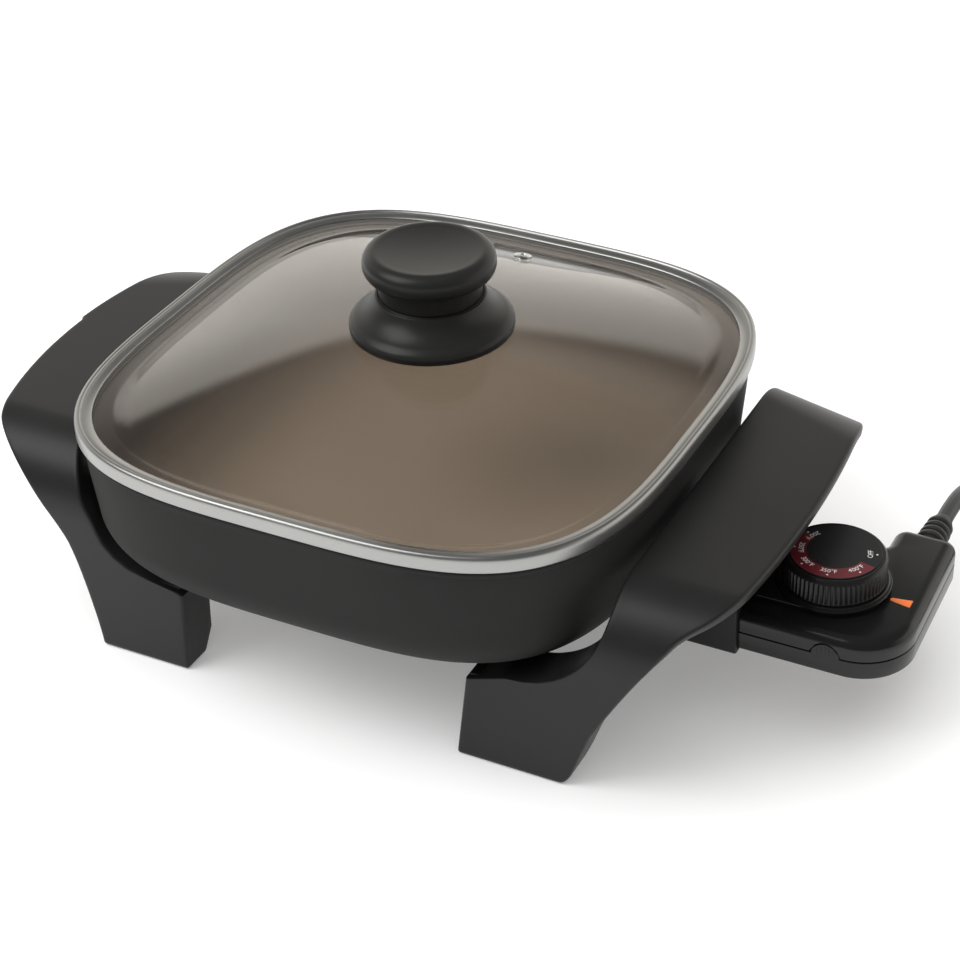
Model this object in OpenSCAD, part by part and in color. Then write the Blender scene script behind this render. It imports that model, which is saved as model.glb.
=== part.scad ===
// Small square electric skillet with a lift-off glass lid and a plug-in thermostat.
// X runs towards the thermostat, Y to the back and Z up. The legs stand on z = 0.

/* [Pan] */
// Width across the lip of the pan
pan_w = 214; // [180:1:300]
// Squareness of the outline: 2 is round, more is squarer
squareness = 3.5; // [2.5:0.1:5]
// Height of the lip above the table
pan_top = 91; // [80:1:110]
// Height of the underside of the floor above the table
floor_z = 40; // [36:1:46]
// Thickness of the wall and the floor
pan_wall = 3.5; // [2.5:0.5:5]
// How far the wall leans inwards from the lip to the turn
wall_lean = 2; // [0:0.5:8]
// Outer radius where the wall turns into the floor
turn_r = 22; // [12:1:26]
// Height of the lip
lip_h = 2.5; // [1:0.5:5]
// How far the lip stands out past the wall
lip_out = 0.8; // [0.2:0.2:3]

/* [Lid] */
// How far the steel rim stands out past the pan's lip
lid_over = 1; // [0.5:0.5:3]
// Height of the steel rim
rim_h = 6.2; // [5:0.2:9]
// Width of the steel rim, seen from above
rim_w = 5.4; // [4:0.2:9]
// Thickness of the steel
rim_t = 0.8; // [0.5:0.1:1.5]
// Thickness of the glass
glass_t = 3.8; // [3:0.1:4.2]
// Width of the flat border of the glass inside the rim
glass_border = 8; // [4:1:16]
// How far the glass rises from its border to the knob
glass_rise = 18.2; // [8:0.1:24]
// Distance of the steam vent from the edge of the lid
vent_in = 28; // [24:1:40]
// Diameter of the steam vent's collar
vent_d = 7.2; // [6:0.2:10]
// Diameter of the steam vent's hole
vent_hole_d = 2.8; // [2:0.2:4]

/* [Knob] */
// Distance of the knob from the middle, across
knob_x = 2.8; // [0:0.2:6]
// Distance of the knob from the middle, front to back
knob_y = 2.1; // [0:0.1:6]
// Diameter of the knob's foot
foot_d = 59.2; // [50:1:70]
// Height of the edge of the foot
foot_edge_h = 3.8; // [2:0.2:6]
// Height of the foot up to the seam
foot_h = 13.2; // [10:0.2:18]
// Diameter of the neck
neck_d = 37; // [28:1:44]
// Height of the neck
neck_h = 7.6; // [5:0.2:12]
// Diameter of the grip
grip_d = 47.4; // [40:1:60]
// Height of the grip
grip_h = 9.8; // [7:0.2:14]
// Depth of the dish in the grip
grip_dish = 1.2; // [0.4:0.2:2]
// Diameter of the knob's screw
knob_screw_d = 5; // [4:0.5:6]

/* [Handles] */
// How far the front legs stand back from the pan's lip
front_inset = 21; // [14:1:28]
// How far the back legs stand back from the pan's lip
back_inset = 27; // [14:1:28]
// Height of the finger band
band_top = 80; // [72:1:86]
// Thickness of the handle's skin
band_t = 4; // [3:0.5:6]
// Radius of the bend from leg to band
bend_r = 26; // [16:1:34]
// Gap between the pan's lip and the finger band
band_gap = 2; // [1.5:0.5:6]
// Width of the finger band
band_w = 43; // [38:1:50]
// How far the left band's outer edge curves back at the bends
left_bow = 10; // [6:1:12]
// How far the right band's outer edge curves back at the bends
right_bow = 3.5; // [2:0.5:6]
// Radius of the right band's outer corners, seen from above
right_corner_r = 31; // [20:1:34]
// How far the foot reaches in under the pan from the lip
foot_under = 51; // [48:1:54]
// Width of the foot on the table
foot_w = 37; // [30:1:40]
// Depth of the foot, front to back
foot_depth = 17; // [14:1:20]
// Height of the inner corner of the foot
foot_corner_z = 34.5; // [32:0.5:36]
// Radius of the hollow under the pan's corner
cradle_r = 36; // [33:1:37]
// Radius of the flare of the left legs' outer edge
left_flare_r = 82; // [79:1:90]
// Radius of the flare of the right legs' outer edge
right_flare_r = 400; // [300:10:600]
// Thickness of the side walls of the leg
leg_wall = 3; // [2:0.5:4]
// Diameter of the handle screws
screw_d = 4; // [3:0.5:5]
// Distance of the handle screws from the foot's inner side
screw_in = 6; // [5:1:9]
// Distance of the handle screws from the pan's lip, front to back
screw_inset = 49; // [46:1:52]

/* [Heater] */
// Diameter of the heating element
element_d = 6.4; // [6:0.2:8]
// Radius of the element's loop
element_r = 44; // [34:1:48]
// Radius of the bend between the loop and each end
element_bend = 10; // [7:1:14]
// Distance of each element end from the middle
pin_y = 14; // [12:1:17]
// Diameter of the terminal pins
pin_d = 4.8; // [4:0.2:5.4]
// Length of the terminal pins
pin_l = 18; // [12:1:20]
// Diameter of the sensing probe
probe_d = 5; // [4:0.2:5.4]
// Wall of the tube that takes the probe
probe_socket_wall = 1.4; // [1:0.2:1.4]

/* [Thermostat] */
// Width of the thermostat body, front to back
ctl_w = 58.6; // [52:0.2:64]
// Height of the underside of the thermostat
ctl_z = 31.7; // [30.5:0.1:32]
// Thickness of the thermostat body
ctl_h = 15.3; // [14.4:0.1:18]
// Height of the seam between the two shells
ctl_split = 7.2; // [5.8:0.2:8]
// Length of the thermostat body
ctl_l = 85.5; // [81:0.5:93]
// Radius of the outer front corner
ctl_corner_r = 20; // [14:1:24]
// Radius of the top edge
ctl_edge_r = 4.5; // [2:0.5:5]
// Width of the arm that carries the cord
arm_w = 24.5; // [20:0.5:28]
// How far the arm reaches past the body, towards the back
arm_l = 14.7; // [12:0.1:20]
// Thickness of the shells
shell_t = 1.8; // [1.4:0.2:2.2]
// Height of the raised deck under the dial
deck_h = 2; // [1:0.5:3]
// Distance of the dial from the thermostat's outer end
dial_in = 33.7; // [30:0.1:38]
// Diameter of the dial's skirt
dial_d = 36.8; // [30:0.2:40]
// Diameter of the dial's face
face_d = 34; // [28:0.2:36]
// Height of the dial
dial_h = 10.3; // [8:0.1:14]
// Diameter of the collar under the dial
collar_d = 40.6; // [38:0.2:44]
// Height of the collar
collar_h = 1.6; // [1:0.1:3]
// Diameter of the dial's shaft
shaft_d = 5; // [4:0.5:6]

/* [Receptacle] */
// Length of the receptacle
guard_l = 31; // [26:1:34]
// How far the receptacle's back wall stands in from the pan's lip
guard_inset = 3; // [0:0.5:3.5]
// Thickness of the receptacle's walls
guard_t = 2; // [1.6:0.2:3]
// Clearance between the receptacle and the thermostat
guard_gap = 0.3; // [0.2:0.1:0.6]
// Distance of the receptacle screws from the receptacle's back wall
guard_screw_in = 26; // [24:1:30]
// Distance of the receptacle screws from the middle, front to back
guard_screw_y = 22; // [21:1:26]
// Diameter of the receptacle screws
guard_screw_d = 3; // [2.5:0.5:4]

/* [Cord] */
// Diameter of the cord
cord_d = 6.4; // [6:0.1:7]
// Length of the cord's strain relief outside the shell
relief_l = 18; // [14:1:24]
// Mean radius of the coil
coil_r = 35; // [32:1:38]
// Length of the plug body
plug_l = 32; // [26:1:40]
// Width of the plug body
plug_w = 23; // [20:1:28]
// Thickness of the plug body
plug_h = 15; // [12:1:18]

/* [Fits] */
// Radial running clearance of shafts, pins and the probe
run_gap = 0.05; // [0.03:0.01:0.08]
// Clearance between pieces that rest on each other or pass close by
rest_gap = 0.3; // [0.2:0.1:0.5]
// Radial clearance of screws in their holes
screw_gap = 0.25; // [0.15:0.05:0.5]

/* [Hidden] */

$fn = 64;
eps = 0.01;

black_metal = [0.16, 0.16, 0.16];
black_plastic = [0.11, 0.11, 0.11];
steel = [0.75, 0.76, 0.75];
brass = [0.72, 0.60, 0.32];

// Pan
outline_n = 72;
turn_steps = 6;
pan_a = pan_w / 2;
wall_a = pan_a - lip_out;
turn_a = wall_a - wall_lean - turn_r;
turn_z = floor_z + turn_r;
lip_z = pan_top - lip_h;
boss_d = screw_d + 7;
boss_l = 4;
boss_bore = 2.6;
guard_boss_d = guard_screw_d + 6;
guard_bore_l = 7;

// Lid
lid_a = pan_a + lid_over;
vent_y = lid_a - vent_in;
rim_z = pan_top + rest_gap;
rim_top = rim_z + rim_h;
glass_a = lid_a - rim_t - 0.2;
glass_z = rim_z + rim_t;
border_a = lid_a - rim_w - glass_border;
glass_steps = 7;
crown_z = glass_height(border_a / glass_steps);
vent_a = vent_y - knob_y * crown_share(vent_y);
vent_tilt = atan(2 * glass_rise * vent_a / (border_a * border_a));
foot_rim_r = foot_d / 2;
foot_skin = 1.6;
foot_z = glass_height(foot_rim_r - 2 * foot_skin);
neck_z = foot_z + foot_h;
grip_z = neck_z + neck_h;
knob_boss_r = 6;
knob_hole_d = knob_screw_d + 2;
washer_t = 1.2;
washer_z = crown_z - glass_t - washer_t;

// Handles
leg_front = pan_a - front_inset;
leg_back = pan_a - back_inset;
legs_mid = (leg_back - leg_front) / 2;
band_in = pan_a + band_gap;
band_out = band_in + band_w;
foot_in = pan_a - foot_under;
screw_x = foot_in + screw_in;
screw_y = pan_a - screw_inset;
bow_half = (leg_front + leg_back) / 2 - bend_r;
cradle_x = band_in - cradle_r;
cradle_z = foot_corner_z + 5 + cradle_r;
left_flare_tilt = 3.5;
right_flare_tilt = -24.2;
corner_low = band_top - 9;
foot_toe = 5;
toe_top = 9;
wedge_low = 30;
wedge_top = 62;
tab_t = 3.5;
tab_z = floor_z - boss_l - tab_t;
tab_w = 14;
tab_y = screw_y - 8;
head_h = 2.6;

// Receptacle
guard_back = pan_a - guard_inset;
guard_end = guard_back + guard_l;
guard_screw_x = guard_back - guard_screw_in;
guard_y = ctl_w / 2 + guard_gap + guard_t;
guard_low = ctl_z - guard_gap - guard_t + 0.4;
guard_foot = guard_screw_x - 7;
guard_boss_z = guard_low + guard_t;

// Heater
element_z = floor_z - element_d / 2;
element_turn = asin((pin_y + element_bend) / (element_r + element_bend));
probe_socket_d = probe_d + 2 * (run_gap + probe_socket_wall);
probe_z = floor_z - probe_socket_d / 2;
probe_tip = 50;
socket_mouth = guard_back - 4;

// Thermostat
ctl_y = ctl_w / 2;
ctl_top = ctl_z + ctl_h;
ctl_seam = ctl_z + ctl_split;
nose_x = guard_back + guard_t + 1;
ctl_end = nose_x + ctl_l;
dial_x = ctl_end - dial_in;
deck_top = ctl_top + deck_h;
deck_y = 19;
guard_high = deck_top + guard_gap + guard_t;
roof_t = shell_t + 0.4;
base_t = 1.5;
arm_x = ctl_end - arm_w;
arm_y = ctl_y + arm_l;
arm_r = 5;
end_taper = 1.5;
inner_corner_r = 4;
arc_steps = 8;
dial_z = deck_top + collar_h + rest_gap;
dial_top = dial_z + dial_h;
plate_t = 0.8;
shaft_low = ctl_z + 8.3;
contact_d = pin_d + 2;
contact_l = 20;
post_d = 6;
tongue_x = ctl_end - 26;
tongue_r = 5.2;
tongue_z = ctl_seam - 0.6;
post_places = [[nose_x + 11, -22], [nose_x + 11, 22], [dial_x - 12.8, -23], [dial_x - 12.8, 23],
    [ctl_end - 9.5, -12], [ctl_end - 10.5, arm_y - 10]];
pointer_x = ctl_end - 12.9;
pointer_l = 7.6;
pointer_w = 4.2;
pointer_tip_w = 1.4;

// Cord: it leaves the thermostat towards the back, falls to the table and is wound up there
relief_x = ctl_end - 13;
relief_z = ctl_z + 8.3;
relief_end = arm_y + relief_l;
relief_d = cord_d + 3;
relief_hole_d = relief_d + 0.4;
cord_sides = 10;
route = [[179.5, 62, 40], [179.5, 70, 40], [179.8, 80, 39.3], [180.5, 90, 36.7],
    [182, 100, 32], [184, 109, 26], [186.5, 118, 19.5], [189.5, 128, 13], [192.5, 138, 7.8],
    [195, 149, 4.5], [196.5, 160, 3.3], [196.8, 170, 3.2]];
coil_at = [235, 170];
coil_turn = cord_d;
coil_h = 2 * cord_d;
tail = [[273.2, 170, 9.6], [273.2, 163, 9.5], [273.2, 156, 8.8], [273.2, 149, 7.9],
    [273.2, 145, 7.5], [273.2, 141, 7.5]];
plug_x = 273.2;
plug_back = 141;
plug_neck = 8;
blade_gap = 12.7;
blade_w = 6.3;
blade_t = 1.6;
blade_l = 17;
tie_t = 0.8;
tie_w = 9;

// ---- shapes used in several places ----

// Rounded square of half width a at height z, with the corners of a superellipse
function square_ring(a, z, p = squareness, n = outline_n) =
    [for (i = [0 : n - 1])
        let (t = 360 * (i + 0.5) / n, c = cos(t), s = sin(t),
             r = a / pow(pow(abs(c), p) + pow(abs(s), p), 1 / p))
        [r * c, r * s, z]];

// Closed skin over a stack of rings that run counterclockwise, from the bottom up
module loft(rings) {
    n = len(rings[0]);
    m = len(rings);
    polyhedron(
        points = [for (r = rings) each r],
        faces = concat(
            [[for (i = [0 : n - 1]) i]],
            [[for (i = [0 : n - 1]) (m - 1) * n + n - 1 - i]],
            [for (j = [0 : m - 2], i = [0 : n - 1])
                [j * n + i, (j + 1) * n + i, (j + 1) * n + (i + 1) % n, j * n + (i + 1) % n]]));
}

// Closed skin around a ring-shaped body: the last ring joins the first
module loft_loop(rings) {
    n = len(rings[0]);
    m = len(rings);
    polyhedron(
        points = [for (r = rings) each r],
        faces = [for (j = [0 : m - 1], i = [0 : n - 1])
            let (k = (j + 1) % m)
            [j * n + i, k * n + i, k * n + (i + 1) % n, j * n + (i + 1) % n]]);
}

function unit(v) = v / norm(v);
function route_dir(p, i) =
    i == 0 ? unit(p[1] - p[0])
    : i == len(p) - 1 ? unit(p[i] - p[i - 1])
    : unit(p[i + 1] - p[i - 1]);

// Round tube of diameter d along the points of a route
module tube_along(p, d, sides) {
    loft([for (i = [0 : len(p) - 1])
        let (w = route_dir(p, i), u = unit(cross(w, [0, 0, 1])), v = cross(w, u))
        [for (k = [0 : sides - 1])
            let (t = -360 * k / sides)
            p[i] + d / 2 * (cos(t) * u + sin(t) * v)]]);
}

// Keeps the cord and what is on it at the end of the strain relief
module cord_place() {
    translate([relief_x - route[0][0], relief_end - route[0][1], 0]) children();
}

module along_x(x0, x1, d) {
    translate([x0, 0, 0]) rotate([0, 90, 0]) cylinder(h = x1 - x0, d = d);
}

module mirror_y() {
    children();
    mirror([0, 1, 0]) children();
}

// Screw that points up from z, with its head below z
module screw_up(d, z, l, head, hh = head_h) {
    translate([0, 0, z - hh]) cylinder(h = hh, d = head);
    translate([0, 0, z - hh / 2]) cylinder(h = l + hh / 2, d = d);
}

// ---- pan ----

function turn_ring(r, i) =
    let (t = 90 * i / turn_steps)
    square_ring(turn_a + r * sin(t), turn_z - r * cos(t));

module pan_skin() {
    inner_r = turn_r - pan_wall;
    loft(concat(
        [for (i = [0 : turn_steps]) turn_ring(turn_r, i)],
        [square_ring(wall_a, lip_z),
         square_ring(pan_a, lip_z + 0.4),
         square_ring(pan_a, pan_top - 0.8),
         square_ring(pan_a - 0.8, pan_top),
         square_ring(wall_a - pan_wall, pan_top),
         square_ring(wall_a - pan_wall - 0.4, pan_top - 1)],
        [for (i = [turn_steps : -1 : 0]) turn_ring(inner_r, i)]));
}

module handle_screw_places() {
    for (x = [-1, 1], y = [-1, 1]) translate([x * screw_x, y * screw_y, 0]) children();
}

module guard_screw_places() {
    for (y = [-1, 1]) translate([guard_screw_x, y * guard_screw_y, 0]) children();
}

module pan_body() {
    color(black_metal) difference() {
        union() {
            pan_skin();
            handle_screw_places() translate([0, 0, floor_z - boss_l])
                cylinder(h = boss_l + 1, d = boss_d);
            guard_screw_places() translate([0, 0, guard_boss_z])
                cylinder(h = floor_z - guard_boss_z + 1, d = guard_boss_d);
        }
        handle_screw_places() translate([0, 0, floor_z - boss_l - eps])
            cylinder(h = boss_l + boss_bore, d = screw_d + 2 * run_gap);
        guard_screw_places() translate([0, 0, guard_boss_z - eps])
            cylinder(h = guard_bore_l, d = guard_screw_d + 2 * run_gap);
    }
}

// ---- heater ----

// Points on an arc in the plane of the element
function bend_points(x, y, r, a0, a1, n) =
    [for (i = [0 : n]) let (t = a0 + (a1 - a0) * i / n) [x + r * cos(t), y + r * sin(t), 0]];

function element_route() =
    let (x = (element_r + element_bend) * cos(element_turn), y = pin_y + element_bend)
    concat(
        [[guard_back, -pin_y, 0]],
        bend_points(x, -y, element_bend, 90, 180 - element_turn, 4),
        bend_points(0, 0, element_r, 350 - element_turn, 10 + element_turn, 28),
        bend_points(x, y, element_bend, 180 + element_turn, 270, 4),
        [[guard_back, pin_y, 0]]);

module heating_element() {
    color([0.42, 0.40, 0.38]) translate([0, 0, element_z])
        tube_along(element_route(), element_d, 12);
}

module terminal_pins() {
    color(steel) mirror_y() translate([0, pin_y, element_z]) {
        along_x(guard_back, guard_back + pin_l - 1, pin_d);
        translate([guard_back + pin_l - 1, 0, 0]) rotate([0, 90, 0])
            cylinder(h = 1, d1 = pin_d, d2 = pin_d - 1.6);
    }
}

module probe_socket() {
    color(steel) translate([0, 0, probe_z]) difference() {
        along_x(probe_tip - 4, socket_mouth, probe_socket_d);
        along_x(probe_tip - 2, socket_mouth + 1, probe_d + 2 * run_gap);
    }
}

// ---- receptacle for the thermostat, under the right handle ----

module probe_guard() {
    color(black_plastic) difference() {
        union() {
            translate([guard_back, -guard_y, guard_low])
                cube([guard_end - guard_back, 2 * guard_y, guard_high - guard_low]);
            translate([guard_foot, -guard_screw_y - 6, guard_low])
                cube([guard_back - guard_foot + 1, 2 * guard_screw_y + 12, guard_t]);
        }
        translate([guard_back + guard_t, guard_t - guard_y, ctl_z - guard_gap])
            cube([guard_end, 2 * (guard_y - guard_t), ctl_h + 2 * guard_gap]);
        translate([guard_back + guard_t, -deck_y - guard_gap, ctl_z])
            cube([guard_end, 2 * (deck_y + guard_gap), ctl_h + deck_h + guard_gap]);
        mirror_y() translate([0, pin_y, element_z])
            along_x(guard_back - 1, guard_back + guard_t + 1, element_d + 2 * rest_gap);
        translate([0, 0, probe_z])
            along_x(guard_back - 1, guard_back + guard_t + 1, probe_d + 2 * rest_gap);
        guard_screw_places() translate([0, 0, guard_low - 1])
            cylinder(h = guard_t + 2, d = guard_screw_d + 2 * screw_gap);
    }
}

module guard_screws() {
    color(steel) guard_screw_places()
        screw_up(guard_screw_d, guard_low, guard_t + guard_bore_l - 2, 2 * guard_screw_d);
}

// ---- handles: one moulding each, a finger band with a leg at both ends ----

// Side view of the arch, in Y and Z
module arch_side(front, back, top, r) {
    translate([-front, -1]) square([front + back, top - r + 1]);
    translate([r - front, 0]) square([front + back - 2 * r, top]);
    for (y = [r - front, back - r]) translate([y, top - r]) circle(r = r, $fn = 96);
}

// Side view of a leg, thick at the foot and thinner upwards, with its outer face at y = half
module leg_side(half) {
    polygon([[half, -2], [half - foot_depth + foot_toe, -2], [half - foot_depth + foot_toe, 0],
        [half - foot_depth, toe_top], [half - foot_depth, wedge_low],
        [half - band_t - 0.5, wedge_top], [half, wedge_top]]);
}

module handle_side() {
    difference() {
        arch_side(leg_front, leg_back, band_top, bend_r);
        difference() {
            arch_side(leg_front - band_t, leg_back - band_t, band_top - band_t, bend_r - band_t);
            leg_side(leg_back);
            mirror([1, 0]) leg_side(leg_front);
        }
        translate([-leg_front - 1, -5]) square([leg_front + leg_back + 2, 5]);
    }
}

// Front view of what is cut away between the handle and the pan, in X and Z
module cradle_cut() {
    translate([cradle_x, cradle_z]) circle(r = cradle_r, $fn = 96);
    translate([0, cradle_z]) square([band_in, 60]);
    polygon([[0, foot_corner_z], [foot_in, foot_corner_z], [cradle_x, cradle_z - cradle_r],
        [cradle_x, cradle_z + 20], [0, cradle_z + 20]]);
}

// Draws its children for the back leg and mirrored for the front leg, with y = 0 on the outer face
module at_legs() {
    translate([0, leg_back, 0]) children();
    mirror([0, 1, 0]) translate([0, leg_front, 0]) children();
}

module leg_hollow(r, tilt) {
    difference() {
        translate([foot_in + leg_wall, leg_wall]) square([60, wedge_top - leg_wall]);
        flare_circle(r, tilt, leg_wall);
    }
}

// Front view of the round cut that flares the leg's outer edge, grown by d
module flare_circle(r, tilt, d) {
    translate([foot_in + foot_w + r * cos(tilt), r * sin(tilt)]) circle(r = r + d, $fn = 360);
}

module leg_tab(leg) {
    translate([foot_in, tab_y, tab_z]) cube([tab_w, leg - tab_y - band_t / 2, tab_t]);
}

module leg_tabs() {
    leg_tab(leg_back);
    mirror([0, 1, 0]) leg_tab(leg_front);
}

// Seen from above, what rounds the band's outer corner off; it starts where it touches the bow
module corner_cut(bow_r, r) {
    y = bow_half + bend_r - r - 1;
    d = bow_r - r;
    x = band_out - bow_r + sqrt(d * d - y * y);
    translate([0, y - bow_half - bend_r, corner_low]) linear_extrude(band_top) difference() {
        translate([x, y * r / d]) square([band_out, r + 20]);
        translate([x, 0]) circle(r = r, $fn = 180);
    }
}

module handle(bow, flare_r, flare_tilt, corner_r = 0) {
    bow_r = (bow_half * bow_half + bow * bow) / (2 * bow);
    flare_top = corner_r > 0 ? corner_low : band_top + 1;
    difference() {
        union() {
            intersection() {
                translate([foot_in, 0, 0]) rotate([90, 0, 90])
                    linear_extrude(band_out - foot_in + 1) handle_side();
                translate([band_out - bow_r, legs_mid, -1])
                    cylinder(h = band_top + 2, r = bow_r, $fn = 720);
                rotate([90, 0, 0]) translate([0, 0, -leg_back - 1])
                    linear_extrude(leg_front + leg_back + 2) difference() {
                        translate([foot_in, 0]) square([band_out, band_top + 1]);
                        cradle_cut();
                    }
            }
            leg_tabs();
        }
        at_legs() rotate([90, 0, 0]) translate([0, 0, -1]) linear_extrude(bend_r + 1)
            intersection() {
                flare_circle(flare_r, flare_tilt, 0);
                translate([0, -1]) square([2 * band_out, flare_top + 1]);
            }
        if (corner_r > 0) at_legs() corner_cut(bow_r, corner_r);
        difference() {
            at_legs() rotate([90, 0, 0]) translate([0, 0, band_t])
                linear_extrude(foot_depth) leg_hollow(flare_r, flare_tilt);
            leg_tabs();
        }
        mirror_y() translate([screw_x, screw_y, tab_z - 1])
            cylinder(h = tab_t + 2, d = screw_d + 2 * screw_gap);
    }
}

module handle_right() {
    color(black_plastic) handle(right_bow, right_flare_r, right_flare_tilt, right_corner_r);
}

module handle_left() {
    color(black_plastic) mirror([1, 0, 0]) handle(left_bow, left_flare_r, left_flare_tilt);
}

module handle_screws() {
    color(steel) handle_screw_places()
        screw_up(screw_d, tab_z, tab_t + boss_l + boss_bore - 0.6, 2 * screw_d);
}

// ---- lid ----

module lid_rim() {
    color(steel) loft_loop([
        square_ring(lid_a - rim_w, rim_z),
        square_ring(lid_a - 0.6, rim_z),
        square_ring(lid_a, rim_z + 0.6),
        square_ring(lid_a, rim_top - 2),
        square_ring(lid_a - 0.7, rim_top - 0.5),
        square_ring(lid_a - 2.2, rim_top),
        square_ring(lid_a - rim_w, glass_z + glass_t + rim_t),
        square_ring(lid_a - rim_w, glass_z + glass_t),
        square_ring(lid_a - 2.2, rim_top - rim_t),
        square_ring(lid_a - rim_t, rim_top - 2.4),
        square_ring(lid_a - rim_t, glass_z),
        square_ring(lid_a - rim_w, glass_z)]);
}

// Height of the upper face of the glass at half width a
function glass_height(a) =
    glass_z + glass_t + (a >= border_a ? 0 : glass_rise * (1 - pow(a / border_a, 2)));

// How far a ring of the glass follows the knob: 0 at the border and 1 at the crown
function crown_share(a) = 1 - pow(min(1, a / border_a), 2);

// The outline turns from the square of the rim to a circle under the knob
function glass_ring(a, drop) =
    let (m = crown_share(a))
    [for (p = square_ring(a, glass_height(a) - drop, squareness - (squareness - 2) * m))
        p + m * [knob_x, knob_y, 0]];

module knob_place() {
    translate([knob_x, knob_y, 0]) children();
}

module lid_glass() {
    steps = [for (i = [0 : glass_steps - 1]) border_a * (1 - i / glass_steps)];
    color([0.80, 0.85, 0.84, 0.4]) difference() {
        loft(concat(
            [for (i = [glass_steps - 1 : -1 : 0]) glass_ring(steps[i], glass_t)],
            [glass_ring(glass_a - 0.5, glass_t), glass_ring(glass_a, glass_t - 0.5),
             glass_ring(glass_a, 1.3), glass_ring(glass_a - 0.8, 0.5),
             glass_ring(lid_a - rim_w - 0.4, 0)],
            [for (i = [0 : glass_steps - 1]) glass_ring(steps[i], 0)]));
        knob_place() cylinder(h = 2 * pan_top, d = knob_hole_d);
        vent_place() translate([0, 0, -3 * glass_t])
            cylinder(h = 6 * glass_t, d = vent_hole_d + 1.4 + 2 * run_gap);
    }
}

module vent_place() {
    translate([0, vent_y, glass_height(vent_a)]) rotate([-vent_tilt, 0, 0]) children();
}

module vent_eyelet() {
    low = -glass_t * cos(vent_tilt) - 0.15;
    color(steel) vent_place() difference() {
        union() {
            translate([0, 0, 0.05]) cylinder(h = 0.8, d = vent_d);
            translate([0, 0, low - 0.6]) cylinder(h = 0.9 - low, d = vent_hole_d + 1.4);
            translate([0, 0, low - 0.8]) cylinder(h = 0.8, d = vent_d - 1);
        }
        translate([0, 0, low - 2]) cylinder(h = glass_t + 6, d = vent_hole_d);
    }
}

module knob_base() {
    flare = foot_rim_r + 3 - neck_d / 2 - 0.5;
    color(black_plastic) knob_place() translate([0, 0, foot_z]) difference() {
        rotate_extrude($fn = 96) difference() {
            union() {
                square([foot_rim_r, foot_edge_h - 0.6]);
                square([foot_rim_r - 0.6, foot_h]);
            }
            translate([foot_rim_r + 3, foot_edge_h + 0.2 + flare]) circle(r = flare, $fn = 96);
            square([foot_rim_r - foot_skin, crown_z - foot_z]);
            translate([knob_boss_r, 0])
                square([foot_rim_r - foot_skin - knob_boss_r, foot_edge_h - 1]);
        }
        translate([0, 0, -1]) cylinder(h = foot_h + 2, d = knob_screw_d + 2 * screw_gap);
    }
}

module knob_cap() {
    edge = 4.4;
    r = grip_d / 2;
    color(black_plastic) knob_place() translate([0, 0, neck_z]) difference() {
        rotate_extrude($fn = 96) {
            square([neck_d / 2, neck_h + 1]);
            translate([0, neck_h]) difference() {
                union() {
                    translate([r - edge, grip_h - edge]) circle(r = edge, $fn = 48);
                    translate([r - edge, edge]) circle(r = edge, $fn = 48);
                    square([r - edge, grip_h]);
                    translate([0, edge]) square([r, grip_h - 2 * edge]);
                }
                dish_r = r - edge + 0.6;
                sphere_r = (dish_r * dish_r + grip_dish * grip_dish) / (2 * grip_dish);
                translate([0, grip_h - grip_dish + sphere_r]) circle(r = sphere_r, $fn = 360);
                translate([-2 * r, -1]) square([2 * r, 3 * grip_h]);
            }
        }
        translate([0, 0, -1]) cylinder(h = neck_h + 1, d = knob_screw_d + 2 * run_gap);
    }
}

module knob_washer() {
    color([0.2, 0.2, 0.2]) knob_place() translate([0, 0, washer_z]) difference() {
        cylinder(h = washer_t, d = 3 * knob_screw_d);
        translate([0, 0, -1]) cylinder(h = 4, d = knob_screw_d + 2 * screw_gap);
    }
}

module knob_screw() {
    color(steel) knob_place()
        screw_up(knob_screw_d, washer_z, neck_z + neck_h - 1 - washer_z, 2 * knob_screw_d);
}

// ---- thermostat ----

// Arc of the thermostat's outline, seen from above
function arc(c, r, a0, a1) =
    [for (i = [0 : arc_steps])
        let (t = a0 + (a1 - a0) * i / arc_steps)
        [c[0] + r * cos(t), c[1] + r * sin(t)]];

// Outline of the thermostat, drawn in by d
function ctl_outline(d) =
    concat(
        [[nose_x + d, ctl_y - d], [nose_x + d, d - ctl_y]],
        arc([ctl_end - ctl_corner_r, ctl_corner_r - ctl_y], ctl_corner_r - d, -90, 0),
        arc([ctl_end - end_taper - arm_r, arm_y - arm_r], arm_r - d, 0, 90),
        arc([arm_x + arm_r, arm_y - arm_r], arm_r - d, 90, 180),
        arc([arm_x - inner_corner_r, ctl_y + inner_corner_r], inner_corner_r + d, 0, -90));

function ctl_ring(d, z) = [for (p = ctl_outline(d)) [p[0], p[1], z]];

module ctl_prism(d, z0, z1) {
    translate([0, 0, z0]) linear_extrude(z1 - z0) polygon(ctl_outline(d));
}

// Upper skin with its rounded edge
module ctl_top_skin() {
    r = ctl_edge_r;
    loft(concat(
        [ctl_ring(0, ctl_seam)],
        [for (i = [0 : 4]) let (t = 90 * i / 4)
            ctl_ring(r * (1 - cos(t)), ctl_top - r + r * sin(t))]));
}

// Half-round tongue of the lower shell that covers a latch in the front wall
module tongue(r, t) {
    translate([tongue_x, t - ctl_y, tongue_z]) rotate([90, 0, 0]) cylinder(h = t, r = r, $fn = 48);
}

module post_places() {
    for (p = post_places) translate([p[0], p[1], 0]) children();
}

module pointer_shape(d) {
    tip = pointer_tip_w / 2 + d;
    wide = pointer_w / 2 + d;
    translate([pointer_x, 0, 0]) linear_extrude(4)
        polygon([[-d, -tip], [pointer_l + d, -wide], [pointer_l + d, wide], [-d, tip]]);
}

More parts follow.
